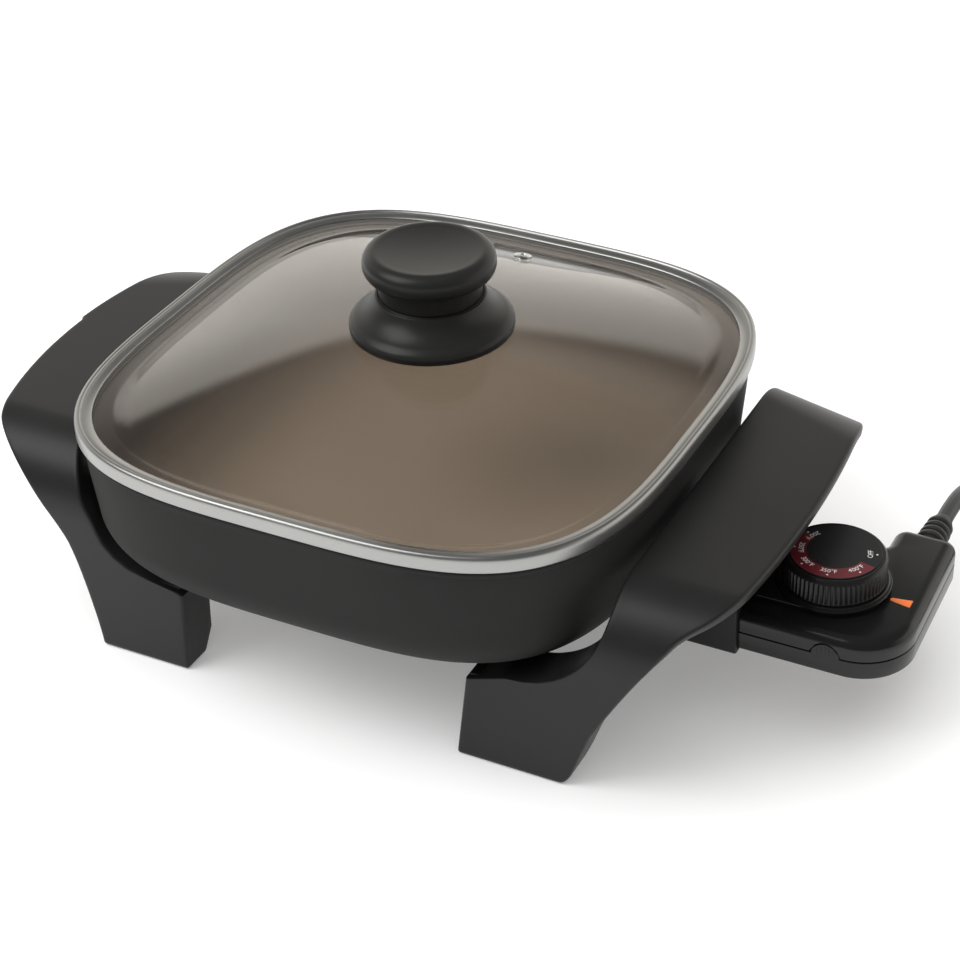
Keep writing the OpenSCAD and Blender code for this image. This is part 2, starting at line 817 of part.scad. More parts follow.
module control_top() {
    color(black_plastic) difference() {
        union() {
            difference() {
                ctl_top_skin();
                ctl_prism(shell_t, ctl_seam - 1, ctl_top - roof_t);
            }
            translate([nose_x, -deck_y, ctl_top - roof_t])
                cube([dial_x - nose_x, 2 * deck_y, deck_h + roof_t]);
            translate([dial_x, 0, ctl_top - roof_t])
                cylinder(h = deck_h + roof_t, r = deck_y, $fn = 96);
            post_places() translate([0, 0, ctl_seam]) cylinder(h = ctl_split, d = post_d);
        }
        post_places() translate([0, 0, ctl_seam - 1]) cylinder(h = 6, d = 2.5);
        translate([0, -0.5, 0]) tongue(tongue_r + 0.25, shell_t + 1);
        mirror_y() translate([0, pin_y, element_z])
            along_x(nose_x - 1, nose_x + 3, pin_d + 2 * rest_gap);
        translate([dial_x, 0, ctl_seam]) cylinder(h = ctl_h, d = shaft_d + 2 * run_gap);
        translate([0, 0, ctl_top - 0.8]) pointer_shape(0.15);
        translate([relief_x, arm_y - 8, relief_z]) rotate([-90, 0, 0])
            cylinder(h = 12, d = relief_hole_d);
    }
}

module control_bottom() {
    color(black_plastic) difference() {
        union() {
            difference() {
                ctl_prism(0, ctl_z, ctl_seam);
                ctl_prism(shell_t, ctl_z + base_t, ctl_seam + 1);
            }
            post_places() translate([0, 0, ctl_z]) cylinder(h = ctl_split, d = post_d);
            tongue(tongue_r, shell_t);
        }
        post_places() {
            translate([0, 0, ctl_z - 1]) cylinder(h = 3, d = 4.8);
            translate([0, 0, ctl_z]) cylinder(h = ctl_split + 1, d = 2.9);
        }
        mirror_y() translate([0, pin_y, element_z])
            along_x(nose_x - 1, nose_x + 3, pin_d + 2 * rest_gap);
        translate([0, 0, probe_z]) along_x(nose_x - 1, nose_x + 3, probe_d + 2 * run_gap);
        translate([relief_x, arm_y - 8, relief_z]) rotate([-90, 0, 0])
            cylinder(h = 12, d = relief_hole_d);
    }
}

module control_screws() {
    color(steel) post_places() screw_up(2.4, ctl_z + 2, ctl_split + 1, 4.4, 1.6);
}

module dial_collar() {
    color(black_plastic) translate([dial_x, 0, deck_top]) difference() {
        cylinder(h = collar_h, d = collar_d, $fn = 96);
        translate([0, 0, -1]) cylinder(h = collar_h + 2, d = collar_d - 8, $fn = 96);
    }
}

module pointer_lens() {
    color([0.93, 0.42, 0.14]) intersection() {
        translate([0, 0, ctl_top - 0.7]) pointer_shape(0);
        translate([pointer_x - 5, -10, ctl_top - 1]) cube([30, 20, 1.4]);
    }
}

module pilot_lamp() {
    color([0.9, 0.5, 0.3]) translate([pointer_x + pointer_l / 2, 0, ctl_z + 8]) {
        cylinder(h = 4.6, d = 3.2);
        translate([-2.5, -2, -2]) cube([5, 4, 2 + eps]);
        translate([-3, -3, 1.6 - 8]) cube([6, 6, 4.5]);
    }
}

module probe_tube() {
    color(steel) translate([0, 0, probe_z]) {
        along_x(probe_tip, nose_x + 20, probe_d);
    }
}

module contact_sockets() {
    x = nose_x + shell_t + 0.4;
    color(brass) mirror_y() translate([0, pin_y, element_z]) difference() {
        union() {
            along_x(x, x + contact_l, contact_d);
            translate([x + contact_l, -1.5, ctl_z + base_t - element_z])
                cube([6, 3, element_z - ctl_z]);
        }
        along_x(x - 1, x + contact_l - 2, pin_d + 2 * run_gap);
    }
}

module switch_block() {
    color([0.85, 0.82, 0.74]) translate([dial_x - 16, -11, ctl_z + base_t])
        difference() {
            cube([24, 22, shaft_low - ctl_z - base_t - 0.1]);
            translate([-1, 11, probe_z - ctl_z - base_t]) along_x(0, 4, probe_d + 1);
        }
}

// ---- dial, which turns ----

module dial_knob() {
    color(black_plastic) translate([dial_x, 0, dial_z]) difference() {
        union() {
            cylinder(h = dial_h - 2, d = dial_d, $fn = 96);
            cylinder(h = dial_h - 0.4, d = face_d, $fn = 96);
            translate([0, 0, dial_h - 2]) cylinder(h = 1.4, d1 = dial_d, d2 = face_d + 0.8, $fn = 96);
        }
        translate([0, 0, -1]) difference() {
            cylinder(h = dial_h - 1.4, d = face_d - 4);
            cylinder(h = dial_h, d = shaft_d + 5);
        }
        translate([0, 0, -1]) cylinder(h = dial_h - 2, d = shaft_d + 0.02);
        translate([0, 0, dial_h - plate_t]) cylinder(h = 2, d = face_d - 1.6, $fn = 96);
    }
}

module dial_plate() {
    color([0.30, 0.06, 0.08]) translate([dial_x, 0, dial_top - plate_t])
        cylinder(h = plate_t, d = face_d - 1.8, $fn = 96);
}

module adjust_shaft() {
    color(steel) translate([dial_x, 0, shaft_low])
        cylinder(h = dial_top - 3.2 - shaft_low, d = shaft_d);
}

// ---- cord, wound up, and its plug ----

module strain_relief() {
    color(black_plastic) translate([relief_x, arm_y, relief_z]) rotate([-90, 0, 0]) {
        translate([0, 0, -5]) cylinder(h = 5 + relief_l / 4, d = relief_d);
        translate([-relief_d / 2 - 2, 1 - relief_d / 2, -6])
            cube([relief_d + 4, relief_d - 2, 2]);
        cylinder(h = relief_l, d1 = relief_d, d2 = cord_d + 1);
        for (i = [0 : 3])
            translate([0, 0, 2 + i * relief_l / 5]) cylinder(h = 1.9, d = relief_d + 2.2 - 0.5 * i);
    }
}

module cord() {
    color([0.17, 0.17, 0.17]) cord_place() tube_along(route, cord_d, cord_sides);
}

module cord_coil() {
    edge = 3;
    color([0.17, 0.17, 0.17]) cord_place() translate([coil_at[0], coil_at[1], 0])
        rotate_extrude($fn = 96) translate([coil_r - coil_turn, 0]) {
            translate([edge, 0]) square([2 * coil_turn - 2 * edge, coil_h]);
            translate([0, edge]) square([2 * coil_turn, coil_h - 2 * edge]);
            for (x = [edge, 2 * coil_turn - edge], z = [edge, coil_h - edge])
                translate([x, z]) circle(r = edge, $fn = 32);
        }
}

module coil_tie() {
    inner = 2 * coil_turn + 0.8;
    color([0.1, 0.1, 0.1]) cord_place() translate([coil_at[0] - tie_w / 2, coil_at[1] - coil_r, 0])
        difference() {
            translate([0, -inner / 2 - tie_t, 0])
                cube([tie_w, inner + 2 * tie_t, coil_h + tie_t + 0.05]);
            translate([-1, -inner / 2, -1]) cube([tie_w + 2, inner, coil_h + 1.05]);
        }
}

module cord_tail() {
    color([0.17, 0.17, 0.17]) cord_place() tube_along(tail, cord_d, cord_sides);
}

module plug_body() {
    color([0.12, 0.12, 0.12]) cord_place() translate([plug_x, plug_back, plug_h / 2]) {
        rotate([90, 0, 0]) cylinder(h = plug_neck + 1, d1 = cord_d + 2, d2 = cord_d + 5);
        translate([-plug_w / 2, -plug_neck - plug_l, 1 - plug_h / 2])
            cube([plug_w, plug_l, plug_h - 2]);
        translate([1 - plug_w / 2, -plug_neck - plug_l, -plug_h / 2])
            cube([plug_w - 2, plug_l - 1, plug_h]);
    }
}

module plug_blades() {
    color(steel) cord_place() for (x = [-1, 1])
        translate([plug_x + x * blade_gap / 2 - blade_t / 2,
            plug_back - plug_neck - plug_l - blade_l, plug_h / 2 - blade_w / 2])
            cube([blade_t, blade_l, blade_w]);
}

pan_body();
heating_element();
terminal_pins();
probe_socket();
probe_guard();
guard_screws();
handle_left();
handle_right();
handle_screws();
lid_rim();
lid_glass();
vent_eyelet();
knob_base();
knob_cap();
knob_screw();
knob_washer();
control_top();
control_bottom();
control_screws();
dial_collar();
pointer_lens();
pilot_lamp();
probe_tube();
contact_sockets();
switch_block();
dial_knob();
dial_plate();
adjust_shaft();
strain_relief();
cord();
cord_coil();
coil_tie();
cord_tail();
plug_body();
plug_blades();
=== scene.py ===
"""Small square electric skillet with a lift-off glass lid and a plug-in thermostat.

Lengths in this script are millimetres, in the frame of the CAD model: X runs towards the
thermostat, Y to the back and Z up. They turn into metres where a mesh or a light is made.
"""
import math

import bpy
from mathutils import Matrix, Vector


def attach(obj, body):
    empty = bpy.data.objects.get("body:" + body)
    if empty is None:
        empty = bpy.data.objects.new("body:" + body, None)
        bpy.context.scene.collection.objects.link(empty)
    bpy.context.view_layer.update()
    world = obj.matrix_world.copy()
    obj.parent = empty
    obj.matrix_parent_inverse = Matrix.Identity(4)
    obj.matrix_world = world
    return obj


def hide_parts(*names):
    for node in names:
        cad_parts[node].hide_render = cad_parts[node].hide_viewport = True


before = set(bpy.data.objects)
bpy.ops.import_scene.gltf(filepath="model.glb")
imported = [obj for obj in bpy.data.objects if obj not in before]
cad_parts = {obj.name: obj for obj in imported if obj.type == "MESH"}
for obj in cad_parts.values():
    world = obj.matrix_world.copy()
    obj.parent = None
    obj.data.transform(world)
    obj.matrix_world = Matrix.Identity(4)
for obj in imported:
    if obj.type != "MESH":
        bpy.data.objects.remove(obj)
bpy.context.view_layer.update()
MM = 0.001
scene = bpy.context.scene


# ---- camera ----

def aim(obj, at):
    obj.rotation_euler = (Vector(at) * MM - obj.location).to_track_quat("-Z", "Y").to_euler()


camera = bpy.data.objects.new("camera", bpy.data.cameras.new("camera"))
scene.collection.objects.link(camera)
camera.data.lens = 85.23
camera.data.shift_x = -0.1309
camera.data.clip_start = 0.01
camera.location = (0.35044, -0.61188, 0.51945)
aim(camera, (61.55, 22.03, 50))
scene.camera = camera


# ---- shapes ----

class Shape:
    """Vertices, faces and the material number of each face."""

    def __init__(self):
        self.v, self.f, self.m = [], [], []

    def add(self, verts, faces, mat=0, to=None):
        k = len(self.v)
        self.v += [tuple(to @ Vector(p)) if to else tuple(p) for p in verts]
        self.f += [tuple(i + k for i in f) for f in faces]
        self.m += [mat] * len(faces)
        return self

    def loft(self, rings, loop=False, ends=(True, True), mat=0, to=None):
        """Skin over rings that run counterclockwise about the direction in which they follow."""
        n, m = len(rings[0]), len(rings)
        faces = []
        for j in range(m if loop else m - 1):
            a, b = j * n, (j + 1) % m * n
            faces += [(a + i, a + (i + 1) % n, b + (i + 1) % n, b + i) for i in range(n)]
        if not loop and ends[0]:
            faces.append(tuple(reversed(range(n))))
        if not loop and ends[1]:
            faces.append(tuple(range((m - 1) * n, m * n)))
        return self.add([p for r in rings for p in r], faces, mat, to)

    def lathe(self, profile, n=96, loop=False, mat=0, to=None, flute=None):
        """Turned shape from (radius, height) points that run up the outside."""
        rings = []
        for r, z in profile:
            ring = []
            for i in range(n):
                t = 2 * math.pi * i / n
                q = max(r, 0.01) * (flute(t, r, z) if flute else 1)
                ring.append((q * math.cos(t), q * math.sin(t), z))
            rings.append(ring)
        return self.loft(rings, loop, mat=mat, to=to)

    def slab(self, outline, z0, z1, low=0.0, high=0.0, steps=4, mat=0, to=None):
        """Upright prism on a counterclockwise outline, with rounded lower and upper edges."""
        rings = []
        for edge, z, up in ((low, z0, 1), (high, z1, -1)):
            part = []
            for k in range(steps + 1 if edge > 0 else 1):
                t = math.pi / 2 * k / steps
                d, h = edge * (1 - math.sin(t)), edge * (1 - math.cos(t))
                part.append([(x, y, z + up * h) for x, y in inset(outline, d)])
            rings += part if up > 0 else part[::-1]
        return self.loft(rings, mat=mat, to=to)

    def tube(self, path, ring, mat=0, ends=(True, True)):
        """Skin along a path of points; ring(i) gives (across, up) points of the section."""
        rings = []
        side = None
        for i, p in enumerate(path):
            w = (Vector(path[min(i + 1, len(path) - 1)]) - Vector(path[max(i - 1, 0)])).normalized()
            if side is None:
                side = w.cross(Vector((0, 0, 1)) if abs(w.z) < 0.9 else Vector((0, 1, 0)))
            side = (side - w * side.dot(w)).normalized()
            up = side.cross(w)
            rings.append([tuple(Vector(p) + side * a + up * b) for a, b in ring(i)])
        return self.loft([r[::-1] for r in rings], mat=mat, ends=ends)

    def mesh(self, name):
        me = bpy.data.meshes.new(name)
        me.from_pydata([(x * MM, y * MM, z * MM) for x, y, z in self.v], [], self.f)
        me.polygons.foreach_set("material_index", self.m)
        me.update()
        return me


def inset(outline, d):
    """Outline moved inwards by d along its own normals."""
    if d == 0:
        return [tuple(p[:2]) for p in outline]
    out = []
    n = len(outline)
    for i in range(n):
        p = Vector(outline[i][:2])
        a = (p - Vector(outline[i - 1][:2])).normalized()
        b = (Vector(outline[(i + 1) % n][:2]) - p).normalized()
        m = Vector((-a.y - b.y, a.x + b.x))
        if m.length < 1e-9:
            m = Vector((-a.y, a.x)) * 2
        m *= 2 / m.length_squared
        if m.length > 2:
            m *= 2 / m.length
        out.append((p.x + m.x * d, p.y + m.y * d))
    return out


def rounded(points, steps=5, closed=True):
    """Outline of (x, y, radius) corners with arcs at the corners."""
    out = []
    n = len(points)
    for i, q in enumerate(points):
        p = Vector(q[:2])
        r = q[2] if len(q) > 2 else 0
        if r <= 0 or (not closed and i in (0, n - 1)):
            out.append((p.x, p.y))
            continue
        a = Vector(points[i - 1][:2]) - p
        b = Vector(points[(i + 1) % n][:2]) - p
        la, lb = a.length, b.length
        a.normalize()
        b.normalize()
        half = a.angle(b) / 2
        d = min(r / math.tan(half), la * 0.49, lb * 0.49)
        r = d * math.tan(half)
        c = p + (a + b).normalized() * (r / math.sin(half))
        s, e = p + a * d - c, p + b * d - c
        a0, a1 = math.atan2(s.y, s.x), math.atan2(e.y, e.x)
        while a1 - a0 > math.pi:
            a1 -= 2 * math.pi
        while a1 - a0 < -math.pi:
            a1 += 2 * math.pi
        for k in range(steps + 1):
            t = a0 + (a1 - a0) * k / steps
            out.append((c.x + r * math.cos(t), c.y + r * math.sin(t)))
    return out


def box_outline(x0, x1, y0, y1, r=0.0, steps=5):
    return rounded([(x0, y0, r), (x1, y0, r), (x1, y1, r), (x0, y1, r)], steps)


def circle(r, n=48, x=0.0, y=0.0):
    return [(x + r * math.cos(2 * math.pi * i / n), y + r * math.sin(2 * math.pi * i / n))
            for i in range(n)]


def frame_at(x, y, z, axis="z"):
    """Matrix that puts a shape's own z along an axis and its origin at a point."""
    turn = {"z": Matrix.Identity(4), "-z": Matrix.Rotation(math.pi, 4, "X"),
            "x": Matrix.Rotation(math.pi / 2, 4, "Y"), "-x": Matrix.Rotation(-math.pi / 2, 4, "Y"),
            "y": Matrix.Rotation(-math.pi / 2, 4, "X"), "-y": Matrix.Rotation(math.pi / 2, 4, "X")}
    return Matrix.Translation((x, y, z)) @ turn[axis]


def smooth_min(a, b, k):
    h = max(k - abs(a - b), 0) / k
    return min(a, b) - h * h * k / 4


def ease(t):
    t = min(max(t, 0), 1)
    return t * t * (3 - 2 * t)


def outward(me):
    """Turns every face the right way round if the mesh is inside out."""
    volume = 0.0
    for p in me.polygons:
        v = [me.vertices[i].co for i in p.vertices]
        for k in range(1, len(v) - 1):
            volume += v[0].dot(v[k].cross(v[k + 1]))
    if volume < 0:
        me.flip_normals()
    return me


def cut(shape, *tools):
    """Mesh of a shape with others cut out of it."""
    made = []
    for k, s in enumerate((shape, *tools)):
        o = bpy.data.objects.new(f"cutting_{k}", outward(s.mesh(f"cutting_{k}")))
        scene.collection.objects.link(o)
        made.append(o)
    for o in made[1:]:
        mod = made[0].modifiers.new("cut", "BOOLEAN")
        mod.operation = "DIFFERENCE"
        mod.solver = "EXACT"
        mod.object = o
    graph = bpy.context.evaluated_depsgraph_get()
    me = bpy.data.meshes.new_from_object(made[0].evaluated_get(graph))
    for o in made:
        bpy.data.objects.remove(o)
    return me


def piece(name, body, shape, mats, nodes=(), angle=30):
    """Object on a body, which stands for CAD nodes."""
    me = shape if isinstance(shape, bpy.types.Mesh) else outward(shape.mesh(name))
    me.name = name
    for m in mats if isinstance(mats, (list, tuple)) else [mats]:
        me.materials.append(m)
    me.polygons.foreach_set("use_smooth", [True] * len(me.polygons))
    me.set_sharp_from_angle(angle=math.radians(angle))
    o = bpy.data.objects.new(name, me)
    scene.collection.objects.link(o)
    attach(o, body)
    if nodes:
        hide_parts(*nodes)
    return o


# ---- materials ----

def blank(name):
    m = bpy.data.materials.new(name)
    m.use_nodes = True
    tree = m.node_tree
    tree.nodes.clear()
    out = tree.nodes.new("ShaderNodeOutputMaterial")
    shader = tree.nodes.new("ShaderNodeBsdfPrincipled")
    tree.links.new(shader.outputs[0], out.inputs["Surface"])
    return m, tree, shader, out


def noise(tree, scale, detail=3.0, stretch=(1, 1, 1), rough=0.5):
    coords = tree.nodes.new("ShaderNodeTexCoord")
    place = tree.nodes.new("ShaderNodeMapping")
    place.inputs["Scale"].default_value = stretch
    n = tree.nodes.new("ShaderNodeTexNoise")
    n.inputs["Scale"].default_value = scale
    n.inputs["Detail"].default_value = detail
    n.inputs["Roughness"].default_value = rough
    tree.links.new(coords.outputs["Object"], place.inputs["Vector"])
    tree.links.new(place.outputs[0], n.inputs["Vector"])
    return n


def spread(tree, value, low, high, start=0.3, end=0.7):
    """Maps a texture's value onto a range."""
    r = tree.nodes.new("ShaderNodeMapRange")
    r.inputs["From Min"].default_value = start
    r.inputs["From Max"].default_value = end
    r.inputs["To Min"].default_value = low
    r.inputs["To Max"].default_value = high
    tree.links.new(value, r.inputs["Value"])
    return r.outputs["Result"]


def surface(name, dark, light, rough, metallic=0.0, grain=900.0, bump=0.15, depth=0.00004,
            patch=18.0, stretch=(1, 1, 1), coat=0.0, coat_rough=0.1, specular=0.5, detail=4.0,
            painted_shade=None):
    """Opaque material: two close colours in patches, uneven gloss and a fine grain. The last argument
    gives two heights between which the colour sinks to a share of itself: painted shading."""
    m, tree, shader, _ = blank(name)
    patches = noise(tree, patch, 3.0)
    fine = noise(tree, grain, detail, stretch)
    mix = tree.nodes.new("ShaderNodeMix")
    mix.data_type = "RGBA"
    mix.inputs["A"].default_value = (*dark, 1)
    mix.inputs["B"].default_value = (*light, 1)
    blend = tree.nodes.new("ShaderNodeMath")
    blend.operation = "MULTIPLY_ADD"
    blend.inputs[1].default_value = 0.4
    tree.links.new(fine.outputs["Fac"], blend.inputs[0])
    tree.links.new(spread(tree, patches.outputs["Fac"], 0.0, 0.6), blend.inputs[2])
    tree.links.new(blend.outputs[0], mix.inputs["Factor"])
    colour = mix.outputs["Result"]
    # Painted shading: the colour is scaled down with the object's height, between two heights.
    if painted_shade:
        split = tree.nodes.new("ShaderNodeSeparateXYZ")
        coords = tree.nodes.new("ShaderNodeTexCoord")
        scale = tree.nodes.new("ShaderNodeVectorMath")
        scale.operation = "SCALE"
        tree.links.new(coords.outputs["Object"], split.inputs[0])
        tree.links.new(colour, scale.inputs[0])
        tree.links.new(spread(tree, split.outputs["Z"], 1.0, painted_shade[2], painted_shade[0], painted_shade[1]),
                       scale.inputs["Scale"])
        colour = scale.outputs[0]
    tree.links.new(colour, shader.inputs["Base Color"])
    tree.links.new(spread(tree, patches.outputs["Fac"], rough[0], rough[1]),
                   shader.inputs["Roughness"])
    b = tree.nodes.new("ShaderNodeBump")
    b.inputs["Strength"].default_value = bump
    b.inputs["Distance"].default_value = depth
    tree.links.new(fine.outputs["Fac"], b.inputs["Height"])
    tree.links.new(b.outputs[0], shader.inputs["Normal"])
    shader.inputs["Metallic"].default_value = metallic
    shader.inputs["Specular IOR Level"].default_value = specular
    shader.inputs["Coat Weight"].default_value = coat
    shader.inputs["Coat Roughness"].default_value = coat_rough
    return m


def glass_material():
    """Clear glass that lets the lamps' light through."""
    m, tree, shader, out = blank("lid_glass")
    shader.inputs["Base Color"].default_value = (0.975, 0.975, 0.965, 1)
    shader.inputs["Transmission Weight"].default_value = 1.0
    shader.inputs["IOR"].default_value = 1.42
    smear = noise(tree, 26.0, 4.0)
    tree.links.new(spread(tree, smear.outputs["Fac"], 0.0, 0.03), shader.inputs["Roughness"])
    clear = tree.nodes.new("ShaderNodeBsdfTransparent")
    clear.inputs["Color"].default_value = (0.90, 0.90, 0.89, 1)
    rays = tree.nodes.new("ShaderNodeLightPath")
    mix = tree.nodes.new("ShaderNodeMixShader")
    tree.links.new(rays.outputs["Is Shadow Ray"], mix.inputs["Fac"])
    tree.links.new(shader.outputs[0], mix.inputs[1])
    tree.links.new(clear.outputs[0], mix.inputs[2])
    tree.links.new(mix.outputs[0], out.inputs["Surface"])
    return m


coating = surface("pan_coating", (0.024, 0.024, 0.024), (0.033, 0.033, 0.032), (0.50, 0.60),
                  grain=1500.0, bump=0.20, specular=0.05)
# Painted shading: the lining's colour sinks to 0.42 of itself from 44 to 62 mm up, so the inner walls are
# darker than the floor.
lining = surface("pan_lining", (0.208, 0.158, 0.114), (0.226, 0.173, 0.127), (0.46, 0.58),
                 grain=420.0, bump=0.02, depth=0.00001, detail=1.0, specular=0.25,
                 painted_shade=(0.044, 0.062, 0.42))
handle_black = surface("handle_plastic", (0.010, 0.010, 0.010), (0.015, 0.015, 0.015),
                       (0.34, 0.42), grain=1100.0, bump=0.15, specular=0.27)
knob_black = surface("knob_plastic", (0.011, 0.011, 0.010), (0.016, 0.016, 0.015),
                     (0.30, 0.38), grain=1100.0, bump=0.10, specular=0.25)
shell_black = surface("shell_plastic", (0.006, 0.006, 0.006), (0.010, 0.010, 0.010),
                      (0.17, 0.24), grain=1400.0, bump=0.08, specular=0.38)
dial_black = surface("dial_plastic", (0.006, 0.006, 0.006), (0.010, 0.010, 0.010),
                     (0.24, 0.32), grain=1400.0, bump=0.1, specular=0.35)
guard_black = surface("guard_plastic", (0.008, 0.008, 0.008), (0.014, 0.014, 0.014),
                      (0.40, 0.50), grain=1200.0, bump=0.25, specular=0.25)
face_black = surface("dial_face", (0.010, 0.010, 0.011), (0.016, 0.016, 0.017),
                     (0.26, 0.36), grain=1600.0, bump=0.06, specular=0.2)
print_red = surface("dial_red", (0.085, 0.006, 0.010), (0.120, 0.010, 0.016),
                    (0.30, 0.40), grain=1600.0, bump=0.06)
print_white = surface("dial_white", (0.62, 0.60, 0.58), (0.72, 0.70, 0.68),
                      (0.40, 0.50), grain=1600.0, bump=0.05)
rim_steel = surface("rim_steel", (0.34, 0.34, 0.33), (0.41, 0.41, 0.40), (0.30, 0.40),
                    metallic=1.0, grain=420.0, bump=0.10, stretch=(1, 1, 12), patch=30.0)
screw_steel = surface("screw_steel", (0.50, 0.50, 0.49), (0.62, 0.62, 0.61), (0.26, 0.38),
                      metallic=1.0, grain=900.0, bump=0.1)
heater_steel = surface("heater_steel", (0.16, 0.15, 0.14), (0.26, 0.24, 0.22), (0.42, 0.58),
                       metallic=0.9, grain=700.0, bump=0.3, patch=60.0)
pin_steel = surface("pin_steel", (0.60, 0.60, 0.58), (0.72, 0.72, 0.70), (0.20, 0.30),
                    metallic=1.0, grain=900.0, bump=0.08)
orange = surface("pointer_orange", (0.80, 0.16, 0.03), (0.92, 0.22, 0.05), (0.20, 0.30),
                 grain=900.0, bump=0.05, coat=0.4)
brass = surface("contact_brass", (0.55, 0.38, 0.14), (0.66, 0.48, 0.20), (0.28, 0.40),
                metallic=1.0, grain=700.0, bump=0.1)
ceramic = surface("steatite", (0.66, 0.60, 0.48), (0.76, 0.71, 0.60), (0.55, 0.70),
                  grain=600.0, bump=0.2)
rubber = surface("silicone", (0.020, 0.020, 0.020), (0.030, 0.030, 0.030), (0.55, 0.65),
                 grain=1000.0, bump=0.2)
cord_black = surface("cord_pvc", (0.022, 0.023, 0.025), (0.036, 0.037, 0.040), (0.34, 0.44),
                     grain=1500.0, bump=0.2)
plug_black = surface("plug_pvc", (0.014, 0.014, 0.014), (0.024, 0.024, 0.024), (0.34, 0.46),
                     grain=1500.0, bump=0.3)
glass = glass_material()


# ---- cord: out of the strain relief, down to the table and into a coil outside the view ----

CORD_R = 3.15
route = [(179.5, 62, 40), (179.5, 70, 40), (179.8, 80, 39.3), (180.5, 90, 36.7), (182, 100, 32),
         (184, 109, 26), (186.5, 118, 19.5), (189.5, 128, 13), (192.5, 138, 7.8),
         (195, 149, 4.5), (196.5, 160, 3.3), (196.8, 170, 3.2)]
coil_at = (235, 170)
PLUG_X, PLUG_Z = 273.2, 7.5
tail = [(PLUG_X, 170, 9.6), (PLUG_X, 163, 9.5), (PLUG_X, 156, 8.8), (PLUG_X, 149, 7.9),
        (PLUG_X, 145, PLUG_Z), (PLUG_X, 141, PLUG_Z)]
OUTER, INNER = 38.2, 31.8


def through(points, step):
    """Smooth curve through points, cut into even steps."""
    p = [Vector(q) for q in points]
    p = [p[0] * 2 - p[1]] + p + [p[-1] * 2 - p[-2]]
    fine = []
    for i in range(1, len(p) - 2):
        a, b, c, d = p[i - 1], p[i], p[i + 1], p[i + 2]
        for k in range(20):
            t = k / 20
            fine.append(0.5 * (2 * b + (c - a) * t + (2 * a - 5 * b + 4 * c - d) * t * t
                               + (3 * b - a - 3 * c + d) * t ** 3))
    fine.append(p[-2])
    length = [0.0]
    for a, b in zip(fine, fine[1:]):
        length.append(length[-1] + (b - a).length)
    n = max(1, round(length[-1] / step))
    out, j = [], 0
    for k in range(n + 1):
        s = length[-1] * k / n
        while j < len(fine) - 2 and length[j + 1] < s:
            j += 1
        t = (s - length[j]) / max(length[j + 1] - length[j], 1e-9)
        out.append(tuple(fine[j].lerp(fine[j + 1], t)))
    return out


def coil_points():
    """Three and a half turns: outside below, inside below, inside above, outside above."""
    out = []
    for k in range(1, 256):
        turned = 1260 * k / 256
        a = math.radians(180 - turned)
        r = OUTER - (OUTER - INNER) * (ease((turned - 310) / 50) - ease((turned - 910) / 50))
        z = 3.2 + 6.4 * ease((turned - 610) / 50)
        out.append((coil_at[0] + r * math.cos(a), coil_at[1] + r * math.sin(a), z))
    return out


def cord_ring(r):
    """Round section with fine grooves along it."""
    out = []
    for i in range(44):
        t = -2 * math.pi * i / 44
        q = r * (1 - 0.045 * (0.5 + 0.5 * math.cos(11 * t)) ** 3)
        out.append((q * math.cos(t), q * math.sin(t)))
    return out


cord_path = through(route, 3.0) + coil_points() + through(tail, 3.0)
section = cord_ring(CORD_R)
cord = piece("mains_cord", "thermostat", Shape().tube(cord_path, lambda i: section),
             cord_black, ["cord", "cord_coil", "cord_tail"], angle=60)

strap = rounded([(-7.6, 0.05, 1.6), (7.6, 0.05, 1.6), (7.6, 13.6, 2.6), (-7.6, 13.6, 2.6)], 6)
strap_in = inset(strap, 0.75)
tie = Shape()
n_strap = len(strap)
tie.add([(coil_at[0] + x, 135 + y, z) for x in (-4.5, 4.5)
         for outline in (strap, strap_in) for y, z in outline],
        [f for i in range(n_strap) for j in [(i + 1) % n_strap] for f in (
            (i, j, n_strap * 2 + j, n_strap * 2 + i),
            (n_strap + i, n_strap * 3 + i, n_strap * 3 + j, n_strap + j),
            (i, n_strap + i, n_strap + j, j),
            (n_strap * 2 + i, n_strap * 2 + j, n_strap * 3 + j, n_strap * 3 + i))])
tie = piece("coil_strap", "thermostat", tie, rubber, ["coil_tie"])

plug = Shape()
plug.lathe([(0, 0.0), (CORD_R + 0.6, 0.0), (CORD_R + 1.0, 0.5), (CORD_R + 1.0, 2.0),
            (CORD_R + 0.8, 2.2), (CORD_R + 0.8, 2.7), (CORD_R + 1.6, 2.9), (CORD_R + 1.6, 4.4),
            (CORD_R + 1.1, 4.6), (CORD_R + 1.1, 5.1), (CORD_R + 2.2, 5.3), (CORD_R + 2.3, 8.4),
            (0, 8.4)],
           48, to=frame_at(PLUG_X, 141, PLUG_Z, "-y"))
body = []
for k in range(33):
    s = k / 32
    y = 133.4 - 32.4 * s
    w = 7.2 + 4.3 * ease(s / 0.45)
    h = 5.6 + 1.9 * ease(s / 0.35)
    d = 1.2 * (1 - math.sqrt(max(0, 1 - (max(0, 0.06 - s) / 0.06) ** 2)))
    d += 0.8 * (1 - math.sqrt(max(0, 1 - (max(0, s - 0.96) / 0.04) ** 2)))
    grip = 0.5 * math.sin(math.pi * 10 * (s - 0.3)) ** 2 if 0.3 < s < 0.8 else 0
    body.append([(PLUG_X + x, y, PLUG_Z + z) for x, z in
                 box_outline(-w + d + grip, w - d - grip, -h + d, h - d, 3.2, 6)])
plug.loft(body)
plug = piece("plug_housing", "thermostat", plug, plug_black, ["plug_body"], angle=38)
blades = Shape()
